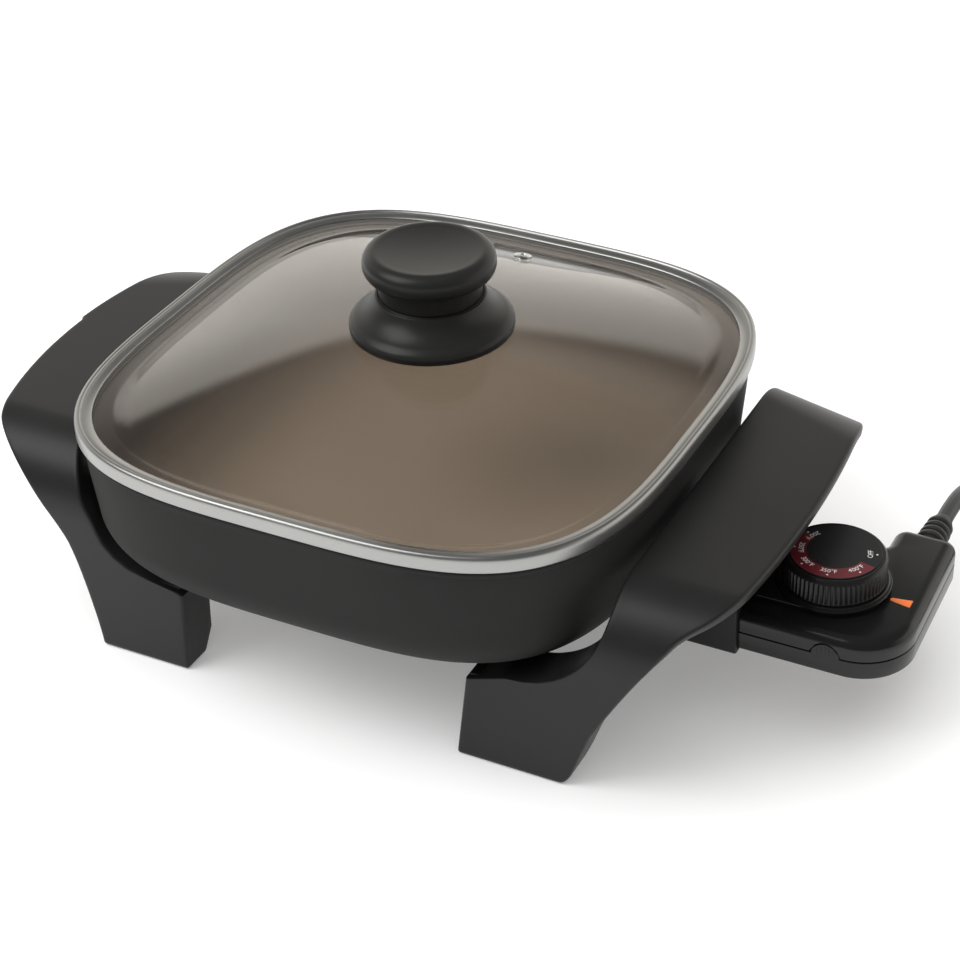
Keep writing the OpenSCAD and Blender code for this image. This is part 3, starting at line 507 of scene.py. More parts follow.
for s in (-1, 1):
    tip = rounded([(-3.15, 0, 0), (3.15, 0, 0), (3.15, 17, 1.6), (-3.15, 17, 1.6)], 4)
    turn = Matrix.Translation((PLUG_X + s * 6.35, 101, PLUG_Z)) @ Matrix(
        ((0, 0, 1, 0), (0, -1, 0, 0), (1, 0, 0, 0), (0, 0, 0, 1)))
    blades.slab(tip, -0.8, 0.8, 0.25, 0.25, 2, to=turn)
blades = piece("plug_pins", "thermostat", blades, pin_steel, ["plug_blades"])

relief = Shape()
profile = [(0, -4.0), (4.7, -4.0), (4.7, 0.6)]
for k, r in enumerate((5.75, 5.5, 5.25, 5.0)):
    z = 2 + k * 3.6
    profile += [(r - 1.1, z - 0.35), (r - 0.25, z - 0.1), (r, z + 0.25), (r, z + 1.5),
                (r - 0.25, z + 1.85), (r - 1.1, z + 2.1)]
profile += [(3.9, 15.6), (3.8, 17.4), (3.5, 17.9), (0, 17.9)]
relief.lathe(profile, 64, to=frame_at(179.5, 44, 40, "y"))
relief = piece("cord_relief", "thermostat", relief, plug_black, ["strain_relief"],
               angle=40)


# ---- pan ----

def square_ring(a, z, p=3.5, n=288, x=0.0, y=0.0):
    """Rounded square of half width a with the corners of a superellipse."""
    out = []
    for i in range(n):
        t = 2 * math.pi * (i + 0.5) / n
        c, s = math.cos(t), math.sin(t)
        r = a / (abs(c) ** p + abs(s) ** p) ** (1 / p)
        out.append((x + r * c, y + r * s, z))
    return out


def pan_turn(r):
    return [(82.2 + r * math.sin(t), 62 - r * math.cos(t))
            for t in [math.pi / 2 * k / 14 for k in range(15)]]


FOOT_SCREWS = [(62 * i, 58 * j) for i in (-1, 1) for j in (-1, 1)]
GUARD_SCREWS = [(78, -22), (78, 22)]
SHELL_SCREWS = [(118, -22), (118, 22), (146, -23), (146, 23), (183, -12), (182, 34)]

pan = Shape()
outside = [square_ring(a, z) for a, z in
           [(40, 40), (70, 40)] + pan_turn(22)
           + [(104.9, 70), (105.7, 79), (106.1, 86), (106.2, 88.1), (106.5, 88.5), (106.85, 88.75),
              (107, 89.2), (107, 90.1), (106.8, 90.6), (106.4, 90.9), (105.9, 91)]]
inside = [square_ring(a, z) for a, z in
          [(105.9, 91), (103.4, 91), (102.8, 90.8), (102.5, 90.2), (102.3, 89), (102.1, 82),
           (101.3, 72)]
          + [(a, z) for a, z in reversed(pan_turn(18.5))] + [(60, 43.5), (20, 43.5)]]
pan.loft(outside, ends=(True, False))
pan.loft(inside, ends=(False, True), mat=1)
for x, y in FOOT_SCREWS:
    pan.lathe([(0, 36), (4.9, 36), (5.5, 36.6), (5.5, 39), (6.4, 40.2), (0, 40.2)], 40,
              to=frame_at(x, y, 0))
for x, y in GUARD_SCREWS:
    pan.lathe([(0, 31.8), (4.0, 31.8), (4.5, 32.3), (4.5, 39), (5.4, 40.2), (0, 40.2)], 40,
              to=frame_at(x, y, 0))
piece("pan", "pan", pan, [coating, lining], ["pan_body"], angle=35)


# ---- heater and pins ----

def arc(cx, cy, r, a0, a1, n=14):
    return [(cx + r * math.cos(math.radians(a0 + (a1 - a0) * i / n)),
             cy + r * math.sin(math.radians(a0 + (a1 - a0) * i / n))) for i in range(n + 1)]


turn = math.degrees(math.asin(24 / 54))
arm_x = 54 * math.cos(math.radians(turn))
PIN_Y, HEATER_Z = 14, 36.8
loop = ([(104, -PIN_Y), (96, -PIN_Y), (75, -PIN_Y)] + arc(arm_x, -24, 10, 90, 180 - turn, 8)
        + arc(0, 0, 44, 350 - turn, 10 + turn, 60)
        + arc(arm_x, 24, 10, 180 + turn, 270, 8) + [(75, PIN_Y), (96, PIN_Y), (104, PIN_Y)])
loop = [(x, y, HEATER_Z) for x, y in loop]
ring = circle(3.2, 24)
piece("element", "pan", Shape().tube(loop, lambda i: ring), heater_steel,
      ["heating_element"], angle=60)
pins = Shape()
for y in (-PIN_Y, PIN_Y):
    pins.lathe([(0, 0), (2.4, 0), (2.4, 16.6), (2.2, 17.2), (1.6, 17.8), (0.8, 18), (0, 18)], 40,
               to=frame_at(104, y, HEATER_Z, "x"))
piece("pins", "pan", pins, pin_steel, ["terminal_pins"])
PROBE_Z = 40 - (5 + 2 * 1.45) / 2
socket = Shape().lathe([(2.55, 2), (3.5, 2), (3.95, 2.4), (3.95, 53.6), (3.5, 54), (2.55, 54)],
                       48, True, to=frame_at(46, 0, PROBE_Z, "x"))
socket.lathe([(0, 0), (3.4, 0), (3.95, 0.6), (3.95, 2.4), (0, 2.4)], 48,
             to=frame_at(46, 0, PROBE_Z, "x"))
piece("probe_well", "pan", socket, heater_steel, ["probe_socket"])
piece("probe", "thermostat", Shape().lathe(
    [(0, 0), (1.2, 0.2), (2.1, 1.0), (2.5, 2.2), (2.5, 77), (0, 77)], 40,
    to=frame_at(50, 0, PROBE_Z, "x")), pin_steel, ["probe_tube"])


# ---- receptacle under the right handle ----

yz = Matrix(((0, 0, 1, 0), (1, 0, 0, 0), (0, 1, 0, 0), (0, 0, 0, 1)))
guard = Shape()
guard.slab(box_outline(-31.6, 31.6, 29.8, 51.3, 2.2), 104, 135, 0.8, 0.6, 3, to=yz)
guard.slab(box_outline(71, 106, -28, 28, 3.0), 29.8, 31.8, 0.5, 0.5, 2)
well = Shape()
well.slab(rounded([(-29.6, 31.4, 0.6), (29.6, 31.4, 0.6), (29.6, 47.3, 3.8), (19.3, 47.3, 0.6),
                   (19.3, 49.3, 0.6), (-19.3, 49.3, 0.6), (-19.3, 47.3, 0.6), (-29.6, 47.3, 3.8)], 4),
          106, 140, to=yz)
holes = []
for y, r, z in ((-PIN_Y, 3.5, HEATER_Z), (PIN_Y, 3.5, HEATER_Z), (0, 2.8, PROBE_Z)):
    holes.append(Shape().slab(circle(r, 32, y, z), 102, 108, to=yz))
for x, y in GUARD_SCREWS:
    holes.append(Shape().slab(circle(1.75, 28, x, y), 28, 33))
piece("receptacle", "pan", cut(guard, well, *holes), guard_black,
      ["probe_guard"], angle=32)


# ---- screws ----

def screw(shape, x, y, z, d, length, head, tall):
    """Screw that points up from z, with a domed head and a cross recess below z."""
    r, h = d / 2, head / 2
    profile = [(0, -tall), (h * 0.55, -tall), (h * 0.82, -tall * 0.86), (h * 0.97, -tall * 0.55),
               (h, -tall * 0.2), (h * 0.97, 0), (r, 0)]
    z1 = 0.4
    while z1 < length - d * 0.4:
        profile += [(r * 0.86, z1), (r, z1 + 0.3)]
        z1 += 0.7
    profile += [(r * 0.86, length - 0.5), (r * 0.6, length), (0, length)]
    shape.lathe(profile, 32, to=frame_at(x, y, z))


def cross(x, y, z, size, deep):
    """Cross-shaped cutter that reaches up into a screw's head from below."""
    w = size * 0.17
    out = [(-w, -size), (w, -size), (w, -w), (size, -w), (size, w), (w, w), (w, size), (-w, size),
           (-w, w), (-size, w), (-size, -w), (-w, -w)]
    return Shape().slab([(x + a, y + b) for a, b in out], z - 0.5, z + deep)


def screws(name, body_name, places, z, d, length, head, tall, node):
    made, cuts = Shape(), []
    for x, y in places:
        screw(made, x, y, z, d, length, head, tall)
        cuts.append(cross(x, y, z - tall, head * 0.3, tall * 0.55))
    piece(name, body_name, cut(made, *cuts), screw_steel, [node], angle=32)


screws("foot_screws", "pan", FOOT_SCREWS, 32.5, 4, 9.5, 8, 2.6, "handle_screws")
screws("receptacle_screws", "pan", GUARD_SCREWS, 29.8, 3, 7, 6, 2.6, "guard_screws")
screws("shell_screws", "thermostat", SHELL_SCREWS, 33.7, 2.4, 8.2, 4.4, 1.6, "control_screws")


# ---- handles ----

HEIGHTS = [0, 0.25, 0.7, 1.4, 2.5, 4, 6, 7.5, 9, 12, 16, 20, 24, 28, 30, 32, 33.5, 34.5, 35.2, 35.6,
           36, 36.5, 37, 37.5, 38, 38.5, 39, 39.5, 40, 41, 42, 43.5, 45, 47, 49, 51.5]
BAND_TOP, BAND_T = 80, 4.05
ARCH = ([("front_leg", z) for z in HEIGHTS] + [("front_bend", 180 - 3 * k) for k in range(31)]
        + [("band", k / 38) for k in range(1, 38)] + [("back_bend", 90 - 3 * k) for k in range(31)]
        + [("back_leg", z) for z in reversed(HEIGHTS)])


def arch_point(part, s, depth, back_r):
    """Point (y, z) of the arch at a depth below its outer face, and the normal there."""
    if part == "front_leg":
        return -86 + depth, s, -1, 0
    if part == "front_bend":
        c, n = math.cos(math.radians(s)), math.sin(math.radians(s))
        return -60 + (26 - depth) * c, 54 + (26 - depth) * n, c, n
    if part == "band":
        return -60 + (140 - back_r) * s, BAND_TOP - depth, 0, 1
    mid = BAND_TOP - back_r
    if part == "back_bend":
        c, n = math.cos(math.radians(s)), math.sin(math.radians(s))
        return mid + (back_r - depth) * c, mid + (back_r - depth) * n, c, n
    return 80 - depth, s * mid / 54, 1, 0


def leg_depth(z):
    """Depth of the leg's side walls at a height."""
    if z < 9:
        return 12 + 5 * z / 9
    if z < 30:
        return 17
    return max(17 - 12.5 * (z - 30) / 32, BAND_T)


def curve(points, t):
    """Straight steps through (t, value) points."""
    for (t0, v0), (t1, v1) in zip(points, points[1:]):
        if t <= t1:
            return v0 + (v1 - v0) * max(t - t0, 0) / (t1 - t0)
    return points[-1][1]


def superellipse(a, y):
    """Half width at y of a square outline of half width a, as the pan's."""
    return a * (1 - min(abs(y) / a, 0.995) ** 3.5) ** (1 / 3.5)


def pan_edge(y, z):
    """Half width of the pan at y, at a height."""
    if z < 40:
        return 0
    a = 82.2 + math.sqrt(22 ** 2 - (62 - z) ** 2) if z < 62 else 104.2 + 1.6 * min((z - 62) / 17, 1)
    return superellipse(a, y) if abs(y) < a else 0


def right_inner(y, z):
    """Inner edge of the right handle: along the leg, then clear of the pan's wall."""
    if z <= 34.5:
        return 53.9 + 4.6 * z / 34.5
    if z <= 39.5:
        return 58.5 + 14.5 * (z - 34.5) / 5
    if z <= 75.5:
        return 73 + math.sqrt(36 ** 2 - (75.5 - z) ** 2)
    return 109


def left_inner(y, z):
    """The left handle lies closer round the pan's corners."""
    cradle = curve([(0, 56), (34.3, 54.6), (35, 59), (36.2, 66), (38.6, 76), (42, 81.8),
                    (46.9, 86.6), (52, 89), (58.6, 91.2), (64.5, 93.8), (70.5, 96.6)], z)
    w = ease((z - 56) / 10)
    wanted = cradle * (1 - w) + superellipse(109.6, y) * w
    return max(wanted, pan_edge(abs(y) - BAND_T, z) + 1.3)


def band_edge(off, bow_r, corner_r=0):
    """Outer edge of the band at a distance from its middle, with the corner rounded."""
    d, y0 = bow_r - corner_r, 82 - corner_r
    if corner_r and off > y0 * bow_r / d:
        return (152 - bow_r + math.sqrt(d ** 2 - y0 ** 2)
                + math.sqrt(max(corner_r ** 2 - (off - y0) ** 2, 0)))
    return 152 - bow_r + math.sqrt(max(bow_r ** 2 - off ** 2, 0))


def left_edge(y, z):
    """Outer edge: the band's bow above, running into the legs' flare."""
    bow = band_edge(abs(y + 3), 167.45)
    flare = 174.85 - math.sqrt(82 ** 2 - (z - 5) ** 2)
    if z < 44:
        flare += 2.0 * math.sin(math.pi * z / 44)
    w = ease((79 - z) / 14) if y > 0 else 1 - ease(z - 79.2)
    return bow * (1 - w) + smooth_min(bow, flare, 0.6) * w


def right_edge(y, z):
    bow = band_edge(abs(y + 3), 465.9, 31 if y < 0 else 12)
    flare = 457.8 - math.sqrt(400 ** 2 - (z + 164) ** 2)
    if z < 24:
        flare += 3.0 * (1 - z / 24) * math.sqrt(1 - (1 - min(z / 6, 1)) ** 2)
    if y > 0:
        w = ease((78 - z) / 22)
        return bow * (1 - w) + min(bow, flare) * w
    w = ease((z - 66) / 11)
    return flare * (1 - w) + bow * w


def handle(inner, edge, cone, hug):
    """Shell with a wall along both edges; cone gives the back bend's radius at an x, and hug
    the least depth of the inner wall up to the band."""
    made = Shape()
    rings = []
    for part, s in ARCH:
        x0, x1 = 100.0, 140.0
        for _ in range(14):
            y, z, _, nz = arch_point(part, s, 0, cone(x1))
            x1 = 0.5 * (x1 + edge(y, z))
            y0, z0, ny0, nz0 = arch_point(part, s, 0, cone(x0))
            x0 = 0.5 * (x0 + inner(y0, z0))
        deep = leg_depth(z)
        if nz > 0.001:
            bend_r = cone(x1) if y > 0 else 26
            turned = math.degrees(math.asin(min(nz, 1))) * bend_r / 26
            deep = BAND_T + (leg_depth(BAND_TOP - bend_r) - BAND_T) * (1 - ease(turned / 28))
        deep0 = leg_depth(z0) if nz0 < 0.001 else deep
        held = ease((z0 - 30) / 8) * (1 - 0.6 * ease((nz0 - 0.7) / 0.3))
        deep0 = max(deep0, BAND_T + (hug - BAND_T) * held)
        lift = 0.0
        if z < 1.2:
            lift = 1.2 - math.sqrt(max(1.2 ** 2 - (1.2 - z) ** 2, 0))

        def clear(t):
            """Place of the inner wall at a depth, clear of the pan."""
            return max(x0, pan_edge(abs(y0 - ny0 * t), z0 - nz0 * t) + 1.3)

        corners = [(x0 + lift, lift, 1.3), (x0 + 2.4, lift, 0), (x1 - 2.4, lift, 0),
                   (x1 - lift, lift, 1.3), (x1 - lift, deep - lift, 0.8),
                   (x1 - 3 + lift * 0.3, deep - lift, 0.8), (x1 - 3, 4, 1.0), (clear(4) + 3, 4, 1.0)]
        for k in range(1, 6):
            t = 4 + (deep0 - 4) * k / 6
            corners.append((clear(t) + 3, t, 0))
        corners += [(clear(deep0) + 3 - lift * 0.3, deep0 - lift, 0.8),
                    (clear(deep0) + lift, deep0 - lift, 0.8)]
        corners += [(clear(deep0 * k / 6) + lift, deep0 * k / 6, 0) for k in range(5, 1, -1)]
        rings.append([(x, *arch_point(part, s, t, cone(x))[:2]) for x, t in rounded(corners, 5)])
    made.loft(rings)
    for s, leg in ((-1, 86), (1, 80)):
        x1 = edge(s * leg, 1.5) - 0.6
        plate = [(56.6, leg - 3, 0), (56.6, leg - 12.5, 2), (x1, leg - 12.5, 2), (x1, leg - 3, 0)]
        plate = [(x, s * y) for x, y in rounded(plate[::s], 3)]
        made.slab(plate, 0.05, 3, 0.6, 0.2, 3)
        x0 = max(56, inner(s * leg, 34.5) + 0.8)
        tab = rounded([(x0, leg - 2, 0), (x0, 50, 3), (70, 50, 3), (70, leg - 2, 0)][::s], 4)
        made.slab([(x, s * y) for x, y in tab], 32.5, 36, 0.5, 0.5, 3)
    return made


def left(shape):
    """The shape mirrored from the right side to the left."""
    shape.v = [(-x, y, z) for x, y, z in shape.v]
    shape.f = [f[::-1] for f in shape.f]
    return shape


right_handle = handle(right_inner, right_edge, lambda x: 24 + 0.40 * max(x - 109, 0), 18)
left_handle = left(handle(left_inner, left_edge, lambda x: 31 + 0.46 * max(x - 109, 0), 15))
piece("right_handle", "pan", right_handle, handle_black, ["handle_right"],
      angle=38)
piece("left_handle", "pan", left_handle, handle_black, ["handle_left"],
      angle=38)


# ---- lid ----

BORDER_A, GLASS_TOP, RISE, GLASS_T = 94.6, 95.9, 18.2, 3.8
KNOB_AT = (2.8, 2.1)


def crown_share(a):
    """1 at the crown of the dome, 0 at its border."""
    return 1 - min(1, a / BORDER_A) ** 2


def glass_height(a):
    """Height of the upper face of the glass, with the edge of the dome rounded."""
    dome = GLASS_TOP + (RISE * (1 - (a / BORDER_A) ** 2) if a < BORDER_A else
                        -2 * RISE / BORDER_A * (a - BORDER_A))
    return -smooth_min(-dome, -GLASS_TOP, 0.9)


def glass_ring(a, drop):
    m = crown_share(a)
    return square_ring(a, glass_height(a) - drop, 3.5 - 1.5 * m, 288, KNOB_AT[0] * m, KNOB_AT[1] * m)


rim = Shape()
rim.loft([square_ring(108 - d, 91.3 + z) for d, z in [
    (5.4, 0.0), (1.0, 0.0), (0.5, 0.05), (0.2, 0.2), (0.06, 0.45), (0.0, 0.8), (0.0, 2.0),
    (0.0, 3.2), (0.03, 4.2), (0.12, 4.9), (0.32, 5.5), (0.62, 5.9), (1.0, 6.12), (1.4, 6.2),
    (1.75, 6.15), (1.98, 5.98), (2.1, 5.72), (2.22, 5.6), (2.4, 5.62), (2.8, 5.66), (3.4, 5.6), (4.0, 5.45),
    (4.6, 5.22), (5.05, 4.98), (5.3, 4.8), (5.4, 4.65), (4.6, 4.64),
    (2.4, 5.0), (1.2, 4.6), (0.85, 3.8), (0.8, 0.8), (5.4, 0.8)]], loop=True)
piece("rim", "lid", rim, rim_steel, ["lid_rim"], angle=40)

steps = [3.5 + (BORDER_A - 6 - 3.5) * (k / 30) for k in range(31)]
steps += [BORDER_A - 6 + 12 * k / 24 for k in range(1, 24)] + [101, 104]
lens = Shape()
lens.loft([glass_ring(a, 0) for a in reversed(steps)] + [glass_ring(a, GLASS_T) for a in steps]
          + [glass_ring(106.6, GLASS_T), glass_ring(107, GLASS_T - 0.4), glass_ring(107, 1.2),
             glass_ring(106.6, 0.5), glass_ring(106, 0.3)], loop=True)
piece("glass", "lid", lens, glass, ["lid_glass"], angle=50)

vent_a = 80 - 2.1 * crown_share(80)
tilt = math.atan(2 * RISE * vent_a / BORDER_A ** 2)
at_vent = Matrix.Translation((0, 80, glass_height(vent_a))) @ Matrix.Rotation(-tilt, 4, "X")
vent = Shape().lathe([(1.4, -4.9), (2.6, -4.9), (3.1, -4.7), (3.1, -4.2), (2.1, -4.0), (2.05, 0.02),
                      (3.3, 0.02), (3.6, 0.2), (3.55, 0.5), (3.2, 0.72), (2.75, 0.74),
                      (2.55, 0.62), (2.4, 0.62), (2.25, 0.8), (1.9, 0.86), (1.6, 0.74), (1.4, 0.4)],
                     72, True, to=at_vent)
piece("vent", "lid", vent, pin_steel, ["vent_eyelet"], angle=35)

FOOT_Z = GLASS_TOP + RISE * (1 - (26.4 / BORDER_A) ** 2)
CROWN_Z = GLASS_TOP + RISE * (1 - 1 / 49)
at_knob = Matrix.Translation((*KNOB_AT, 0))
flare_r = 29.6 + 3 - 18.5 - 0.5
base = [(3.0, CROWN_Z + 0.02), (6.0, CROWN_Z + 0.02), (6.0, FOOT_Z + 2.8), (27.6, FOOT_Z + 2.8),
        (28.0, FOOT_Z + 0.15), (28.2, FOOT_Z), (28.9, FOOT_Z), (29.35, FOOT_Z + 0.2),
        (29.6, FOOT_Z + 0.8), (29.6, FOOT_Z + 2.4), (29.5, FOOT_Z + 3.1), (29.15, FOOT_Z + 3.7),
        (28.6, FOOT_Z + 4.2), (28.1, FOOT_Z + 4.65)]
for k in range(1, 23):
    t = math.radians(-110 - 67 * k / 22)
    base.append((32.6 + flare_r * math.cos(t),
                 FOOT_Z + 4.0 + flare_r + 0.25 + flare_r * math.sin(t)))
base = [(r, min(z, FOOT_Z + 13.2)) for r, z in base]
base += [(base[-1][0], FOOT_Z + 12.6), (base[-1][0] - 0.5, FOOT_Z + 13.15), (3.0, FOOT_Z + 13.15)]
piece("knob_foot", "lid", Shape().lathe(base, 160, True, to=at_knob), knob_black,
      ["knob_base"], angle=35)
NECK_Z = FOOT_Z + 13.2
cap = [(2.6, NECK_Z), (18.0, NECK_Z), (18.4, NECK_Z + 0.35), (18.5, NECK_Z + 0.9),
       (18.5, NECK_Z + 6.0), (18.7, NECK_Z + 7.0), (19.0, NECK_Z + 7.5)]
for k in range(13):
    t = math.radians(-85 + 85 * k / 12)
    cap.append((19.3 + 4.4 * math.cos(t), NECK_Z + 12.0 + 4.4 * math.sin(t)))
for k in range(13):
    t = math.radians(90 * k / 12)
    cap.append((19.3 + 4.4 * math.cos(t), NECK_Z + 13.0 + 4.4 * math.sin(t)))
for k in range(1, 15):
    r = 19.3 * (1 - k / 14) + 0.01
    cap.append((r, NECK_Z + 17.4 - 1.2 * (1 - (r / 19.9) ** 2)))
cap += [(0.01, NECK_Z + 8), (2.6, NECK_Z + 8)]
piece("knob_grip", "lid", Shape().lathe(cap, 160, True, to=at_knob), knob_black,
      ["knob_cap"], angle=35)
WASHER_Z = CROWN_Z - 5.0
washer = Shape().lathe([(2.75, 0), (7.2, 0), (7.5, 0.3), (7.5, 0.9), (7.2, 1.2), (2.75, 1.2)],
                       64, True, to=at_knob @ Matrix.Translation((0, 0, WASHER_Z)))
piece("washer", "lid", washer, rubber, ["knob_washer"])
screws("grip_screw", "lid", [KNOB_AT], WASHER_Z, 5, 24, 10, 2.6, "knob_screw")


# ---- thermostat ----

def control_outline(d):
    """Outline of the thermostat, with the cord's arm at the back, moved inwards by d."""
    return ([(107 + d, -29.3 + d)] + arc(172.5, -9.3, 20 - d, -90, 0, 24)
            + arc(186, 39, 5 - d, 0, 90, 10) + arc(173, 39, 5 - d, 90, 180, 10)
            + arc(164, 33.3, 4 + d, 0, -90, 10) + [(107 + d, 29.3 - d)])


DIAL_X = 158.8
top = Shape()
rings = [[(x, y, z) for x, y in control_outline(d)]
         for d, z in ((0.35, 38.95), (0.0, 39.3), (0.0, 41.0))]
for k in range(13):
    t = math.pi / 2 * k / 12
    rings.append([(x, y, 42.5 + 4.5 * math.sin(t))
                  for x, y in control_outline(4.5 * (1 - math.cos(t)))])
top.loft(rings)
deck = [(107.02, -19)] + arc(DIAL_X, 0, 19, -90, 90, 48) + [(107.02, 19)]
top.slab(deck, 46.0, 49, 0, 0.55, 4)
LATCH_X = 166.5
at_latch = frame_at(LATCH_X, -29.3, 38.3, "y")
notch = Shape().lathe([(0, -1), (5.6, -1), (5.6, 1.0), (0, 1.0)], 64, to=at_latch)
wedge = Shape().slab([(179.45, -0.85), (187.35, -2.25), (187.35, 2.25), (179.45, 0.85)], 46.2, 48)
mouths = [Shape().lathe([(0, -1), (2.7, -1), (2.7, 5), (0, 5)], 32, to=frame_at(107, y, HEATER_Z, "x"))
          for y in (-PIN_Y, PIN_Y)]
relief_hole = Shape().lathe([(0, -8), (4.9, -8), (4.9, 3), (0, 3)], 48,
                            to=frame_at(179.5, 44, 40, "y"))
piece("thermostat_top", "thermostat", cut(top, notch, wedge, relief_hole), shell_black,
      ["control_top"], angle=35)
low = Shape()
low.slab(control_outline(0), 31.7, 38.75, 0.9, 0.3, 4)
posts = [Shape().lathe([(0, -1), (2.4, -1), (2.4, 2.0), (0, 2.0)], 32, to=frame_at(x, y, 31.7))
         for x, y in SHELL_SCREWS]
probe_mouth = Shape().lathe([(0, -1), (2.55, -1), (2.55, 5), (0, 5)], 32,
                            to=frame_at(107, 0, PROBE_Z, "x"))
piece("thermostat_base", "thermostat", cut(low, *mouths, probe_mouth, relief_hole, *posts),
      shell_black, ["control_bottom"], angle=35)
latch = Shape().lathe([(0, 0.02), (4.9, 0.02), (5.2, 0.3), (5.2, 1.0), (0, 1.0)], 64, to=at_latch)
for k in range(5):
    x = LATCH_X + (k - 2) * 1.5
    half = math.sqrt(4.5 ** 2 - (x - LATCH_X) ** 2) - 0.3
    latch.slab(box_outline(x - 0.22, x + 0.22, -29.42, -29.1, 0.1, 2), 38.4, 38.3 + half,
               0.1, 0.1, 2)
piece("latch", "thermostat", latch, shell_black, angle=35)
collar = Shape().lathe([(16.4, 0), (20.0, 0), (20.3, 0.2), (20.3, 0.6), (20.05, 0.85), (19.5, 0.9),
                        (19.3, 1.05), (19.3, 1.35), (19.05, 1.6), (16.4, 1.6)], 160, True,
                       to=frame_at(DIAL_X, 0, 49))
piece("collar", "thermostat", collar, shell_black, ["dial_collar"], angle=35)
pointer = Shape().slab([(179.6, -0.7), (187.2, -2.1), (187.2, 2.1), (179.6, 0.7)], 46.3, 47.12,
                       0, 0.2, 3)
piece("pointer", "thermostat", pointer, orange, ["pointer_lens"])


# ---- dial ----

def flute(t, r, z):
    """Ribs on the dial's skirt."""
    if r < 18 or not 51.6 < z < 59.2:
        return 1.0
    return 1 - 0.4 / 18.4 * (0.5 - 0.5 * math.cos(RIBS * t)) ** 0.7


RIBS = 66
skirt = [(17.0, 50.9), (18.2, 50.9), (18.4, 51.1), (18.4, 51.5), (18.4, 51.75), (18.4, 58.6),
         (18.4, 59.15), (18.4, 59.25), (18.25, 59.7), (17.75, 60.4), (17.35, 60.75), (17.0, 60.8),
         (16.4, 60.8), (16.15, 60.75), (16.15, 60.4), (15.0, 60.4), (15.0, 58), (16.0, 57), (16.4, 51)]
at_dial = frame_at(DIAL_X, 0, 0)
dial = Shape().lathe(skirt, RIBS * 8, True, to=at_dial, flute=flute)
dial.lathe([(2.6, 52), (5, 52), (5, 60.3), (2.6, 60.3)], 48, True, to=at_dial)
piece("dial", "dial", dial, dial_black, ["dial_knob"], angle=32)
stem = Shape().lathe([(0, 40.1), (2.1, 40.1), (2.5, 40.5), (2.5, 58), (0, 58)], 40, to=at_dial)
piece("dial_stem", "dial", stem, pin_steel, ["adjust_shaft"])
face = Shape().lathe([(0, 60.4), (16.1, 60.4), (16.1, 61.0), (15.95, 61.12), (0, 61.12)], 160,
                     to=at_dial)
piece("dial_face", "dial", face, face_black, ["dial_plate"])


def face_sector(r0, r1, a0, a1, z, n=96):
    """Flat ring sector on the dial's face, up to a height."""
    rings = []
    for i in range(n + 1):
        t = math.radians(a0 + (a1 - a0) * i / n)
        rings.append([(DIAL_X + r * math.cos(t), r * math.sin(t), h)
                      for r, h in ((r0, z - 0.05), (r1, z - 0.05), (r1, z), (r0, z))])
    return Shape().loft(rings)


piece("dial_band", "dial", face_sector(10.2, 15.75, 154, 347, 61.145), print_red)


def letter_meshes(text, size):
    """Meshes of the letters of a text, each centred on its own middle, and their widths."""
    out = []
    for ch in text:
        data = bpy.data.curves.new("letter", "FONT")
        data.body = ch
        data.size = size
        data.align_x = "CENTER"
        data.extrude = 0.012
        data.resolution_u = 3
        o = bpy.data.objects.new("letter", data)
        scene.collection.objects.link(o)
        bpy.context.view_layer.update()
        me = bpy.data.meshes.new_from_object(o.evaluated_get(bpy.context.evaluated_depsgraph_get()))
        xs = [v.co.x for v in me.vertices]
        out.append((me, max(xs) - min(xs)))
        bpy.data.objects.remove(o)
    return out


TEXT_R, GAP = 12.9, 0.22
marks = Shape()
for text, at in (("200°F", 152), ("250°F", 193.5), ("300°F", 235.3), ("350°F", 278), ("400°F", 325),
                 ("OFF", 15.5)):
    letters = letter_meshes(text, 2.7)
    wide = sum(w + GAP for _, w in letters) - GAP
    s = -wide / 2
    for me, w in letters:
        a = math.radians(at) + (s + w / 2) / 12.4
        s += w + GAP
        spot = (Matrix.Translation((DIAL_X + TEXT_R * math.cos(a), TEXT_R * math.sin(a), 61.16))
                @ Matrix.Rotation(a + math.pi / 2, 4, "Z"))
        marks.add([v.co for v in me.vertices], [tuple(p.vertices) for p in me.polygons], to=spot)
        bpy.data.meshes.remove(me)
    a = math.radians(at)
    marks.lathe([(0, 0), (0.36, 0), (0.36, 0.02), (0, 0.02)], 20,
                to=frame_at(DIAL_X + 14.3 * math.cos(a), 14.3 * math.sin(a), 61.15))
piece("dial_marks", "dial", marks, print_white)


# ---- CAD pieces that stay, inside the thermostat ----

for node, mat in (("contact_sockets", brass), ("switch_block", ceramic), ("pilot_lamp", orange)):
    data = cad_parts[node].data
    data.materials.clear()
    data.materials.append(mat)


# ---- stage and light ----

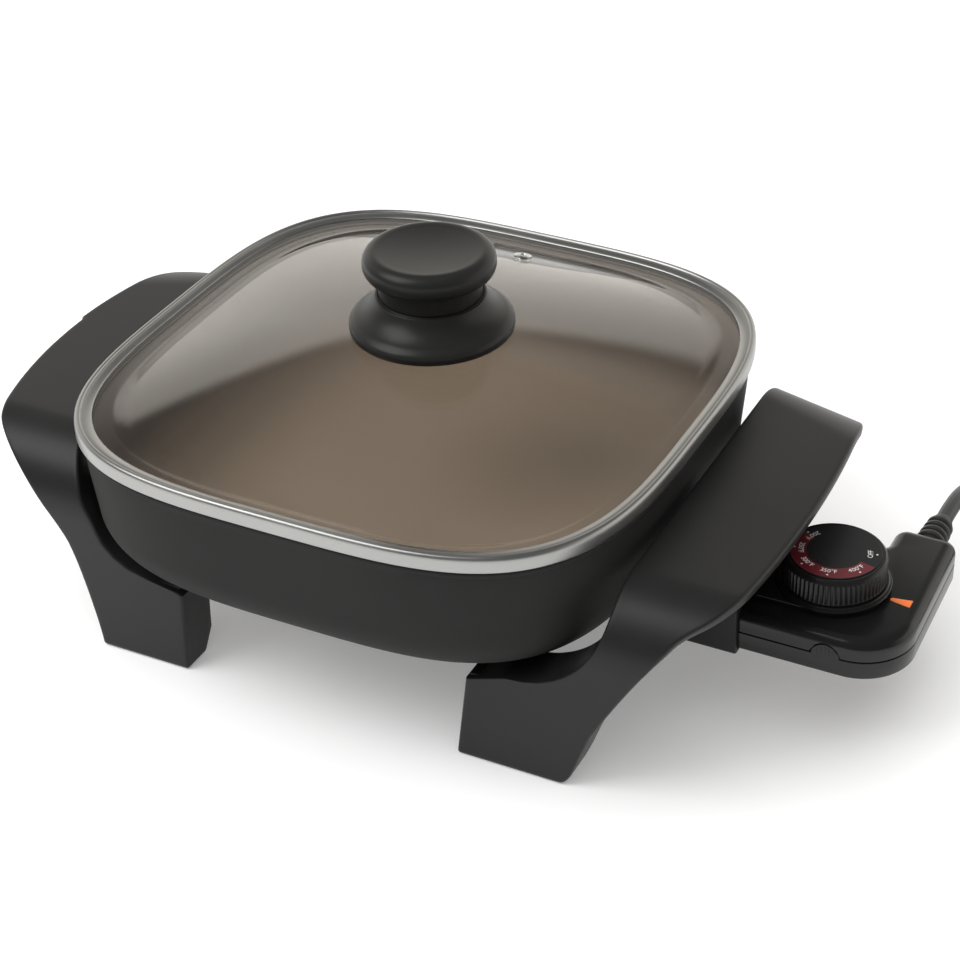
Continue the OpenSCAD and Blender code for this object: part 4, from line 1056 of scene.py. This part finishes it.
floor = bpy.data.objects.new("floor", bpy.data.meshes.new("floor"))
floor.data.from_pydata([(-4, -4, 0), (4, -4, 0), (4, 4, 0), (-4, 4, 0)], [], [(0, 1, 2, 3)])
scene.collection.objects.link(floor)
floor.location.z = -0.0002
m, tree, shader, _ = blank("floor")
cloud = noise(tree, 3.0, 2.0)
mix = tree.nodes.new("ShaderNodeMix")
mix.data_type = "RGBA"
mix.inputs["A"].default_value = (0.83, 0.83, 0.83, 1)
mix.inputs["B"].default_value = (0.85, 0.85, 0.85, 1)
tree.links.new(cloud.outputs["Fac"], mix.inputs["Factor"])
tree.links.new(mix.outputs["Result"], shader.inputs["Base Color"])
shader.inputs["Roughness"].default_value = 0.7
shader.inputs["Emission Color"].default_value = (1, 1, 1, 1)
shader.inputs["Emission Strength"].default_value = 0.22
floor.data.materials.append(m)

world = bpy.data.worlds.new("studio")
scene.world = world
world.use_nodes = True
sky = world.node_tree
coords = sky.nodes.new("ShaderNodeTexCoord")
split = sky.nodes.new("ShaderNodeSeparateXYZ")
wall = sky.nodes.new("ShaderNodeMath")
wall.operation = "MULTIPLY"
mix = sky.nodes.new("ShaderNodeMix")
mix.data_type = "RGBA"
mix.inputs["A"].default_value = (0.19, 0.19, 0.19, 1)
mix.inputs["B"].default_value = (1.22, 1.17, 1.09, 1)
sky.links.new(coords.outputs["Generated"], split.inputs[0])
sky.links.new(spread(sky, split.outputs["Z"], 1.0, 0.0, 0.485, 0.535), wall.inputs[0])
sky.links.new(spread(sky, split.outputs["Y"], 0.0, 1.0, -0.20, 0.35), wall.inputs[1])
sky.links.new(wall.outputs[0], mix.inputs["Factor"])
sky.links.new(mix.outputs["Result"], sky.nodes["Background"].inputs["Color"])
sky.nodes["Background"].inputs["Strength"].default_value = 1.0


def area_light(name, at, to, size, power):
    light = bpy.data.lights.new(name, "AREA")
    light.shape = "RECTANGLE"
    light.size, light.size_y = size
    light.energy = power
    o = bpy.data.objects.new(name, light)
    scene.collection.objects.link(o)
    o.location = Vector(at) * MM
    aim(o, to)
    return o


sky_box = area_light("sky_box", (-150, -250, 2000), (0, 0, 0), (3.4, 3.4), 58)
sky_box.visible_glossy = False
sky_box.visible_transmission = False
area_light("key", (-520, -480, 900), (-60, -60, 60), (0.7, 0.7), 6.0)

scene.view_settings.view_transform = "Standard"
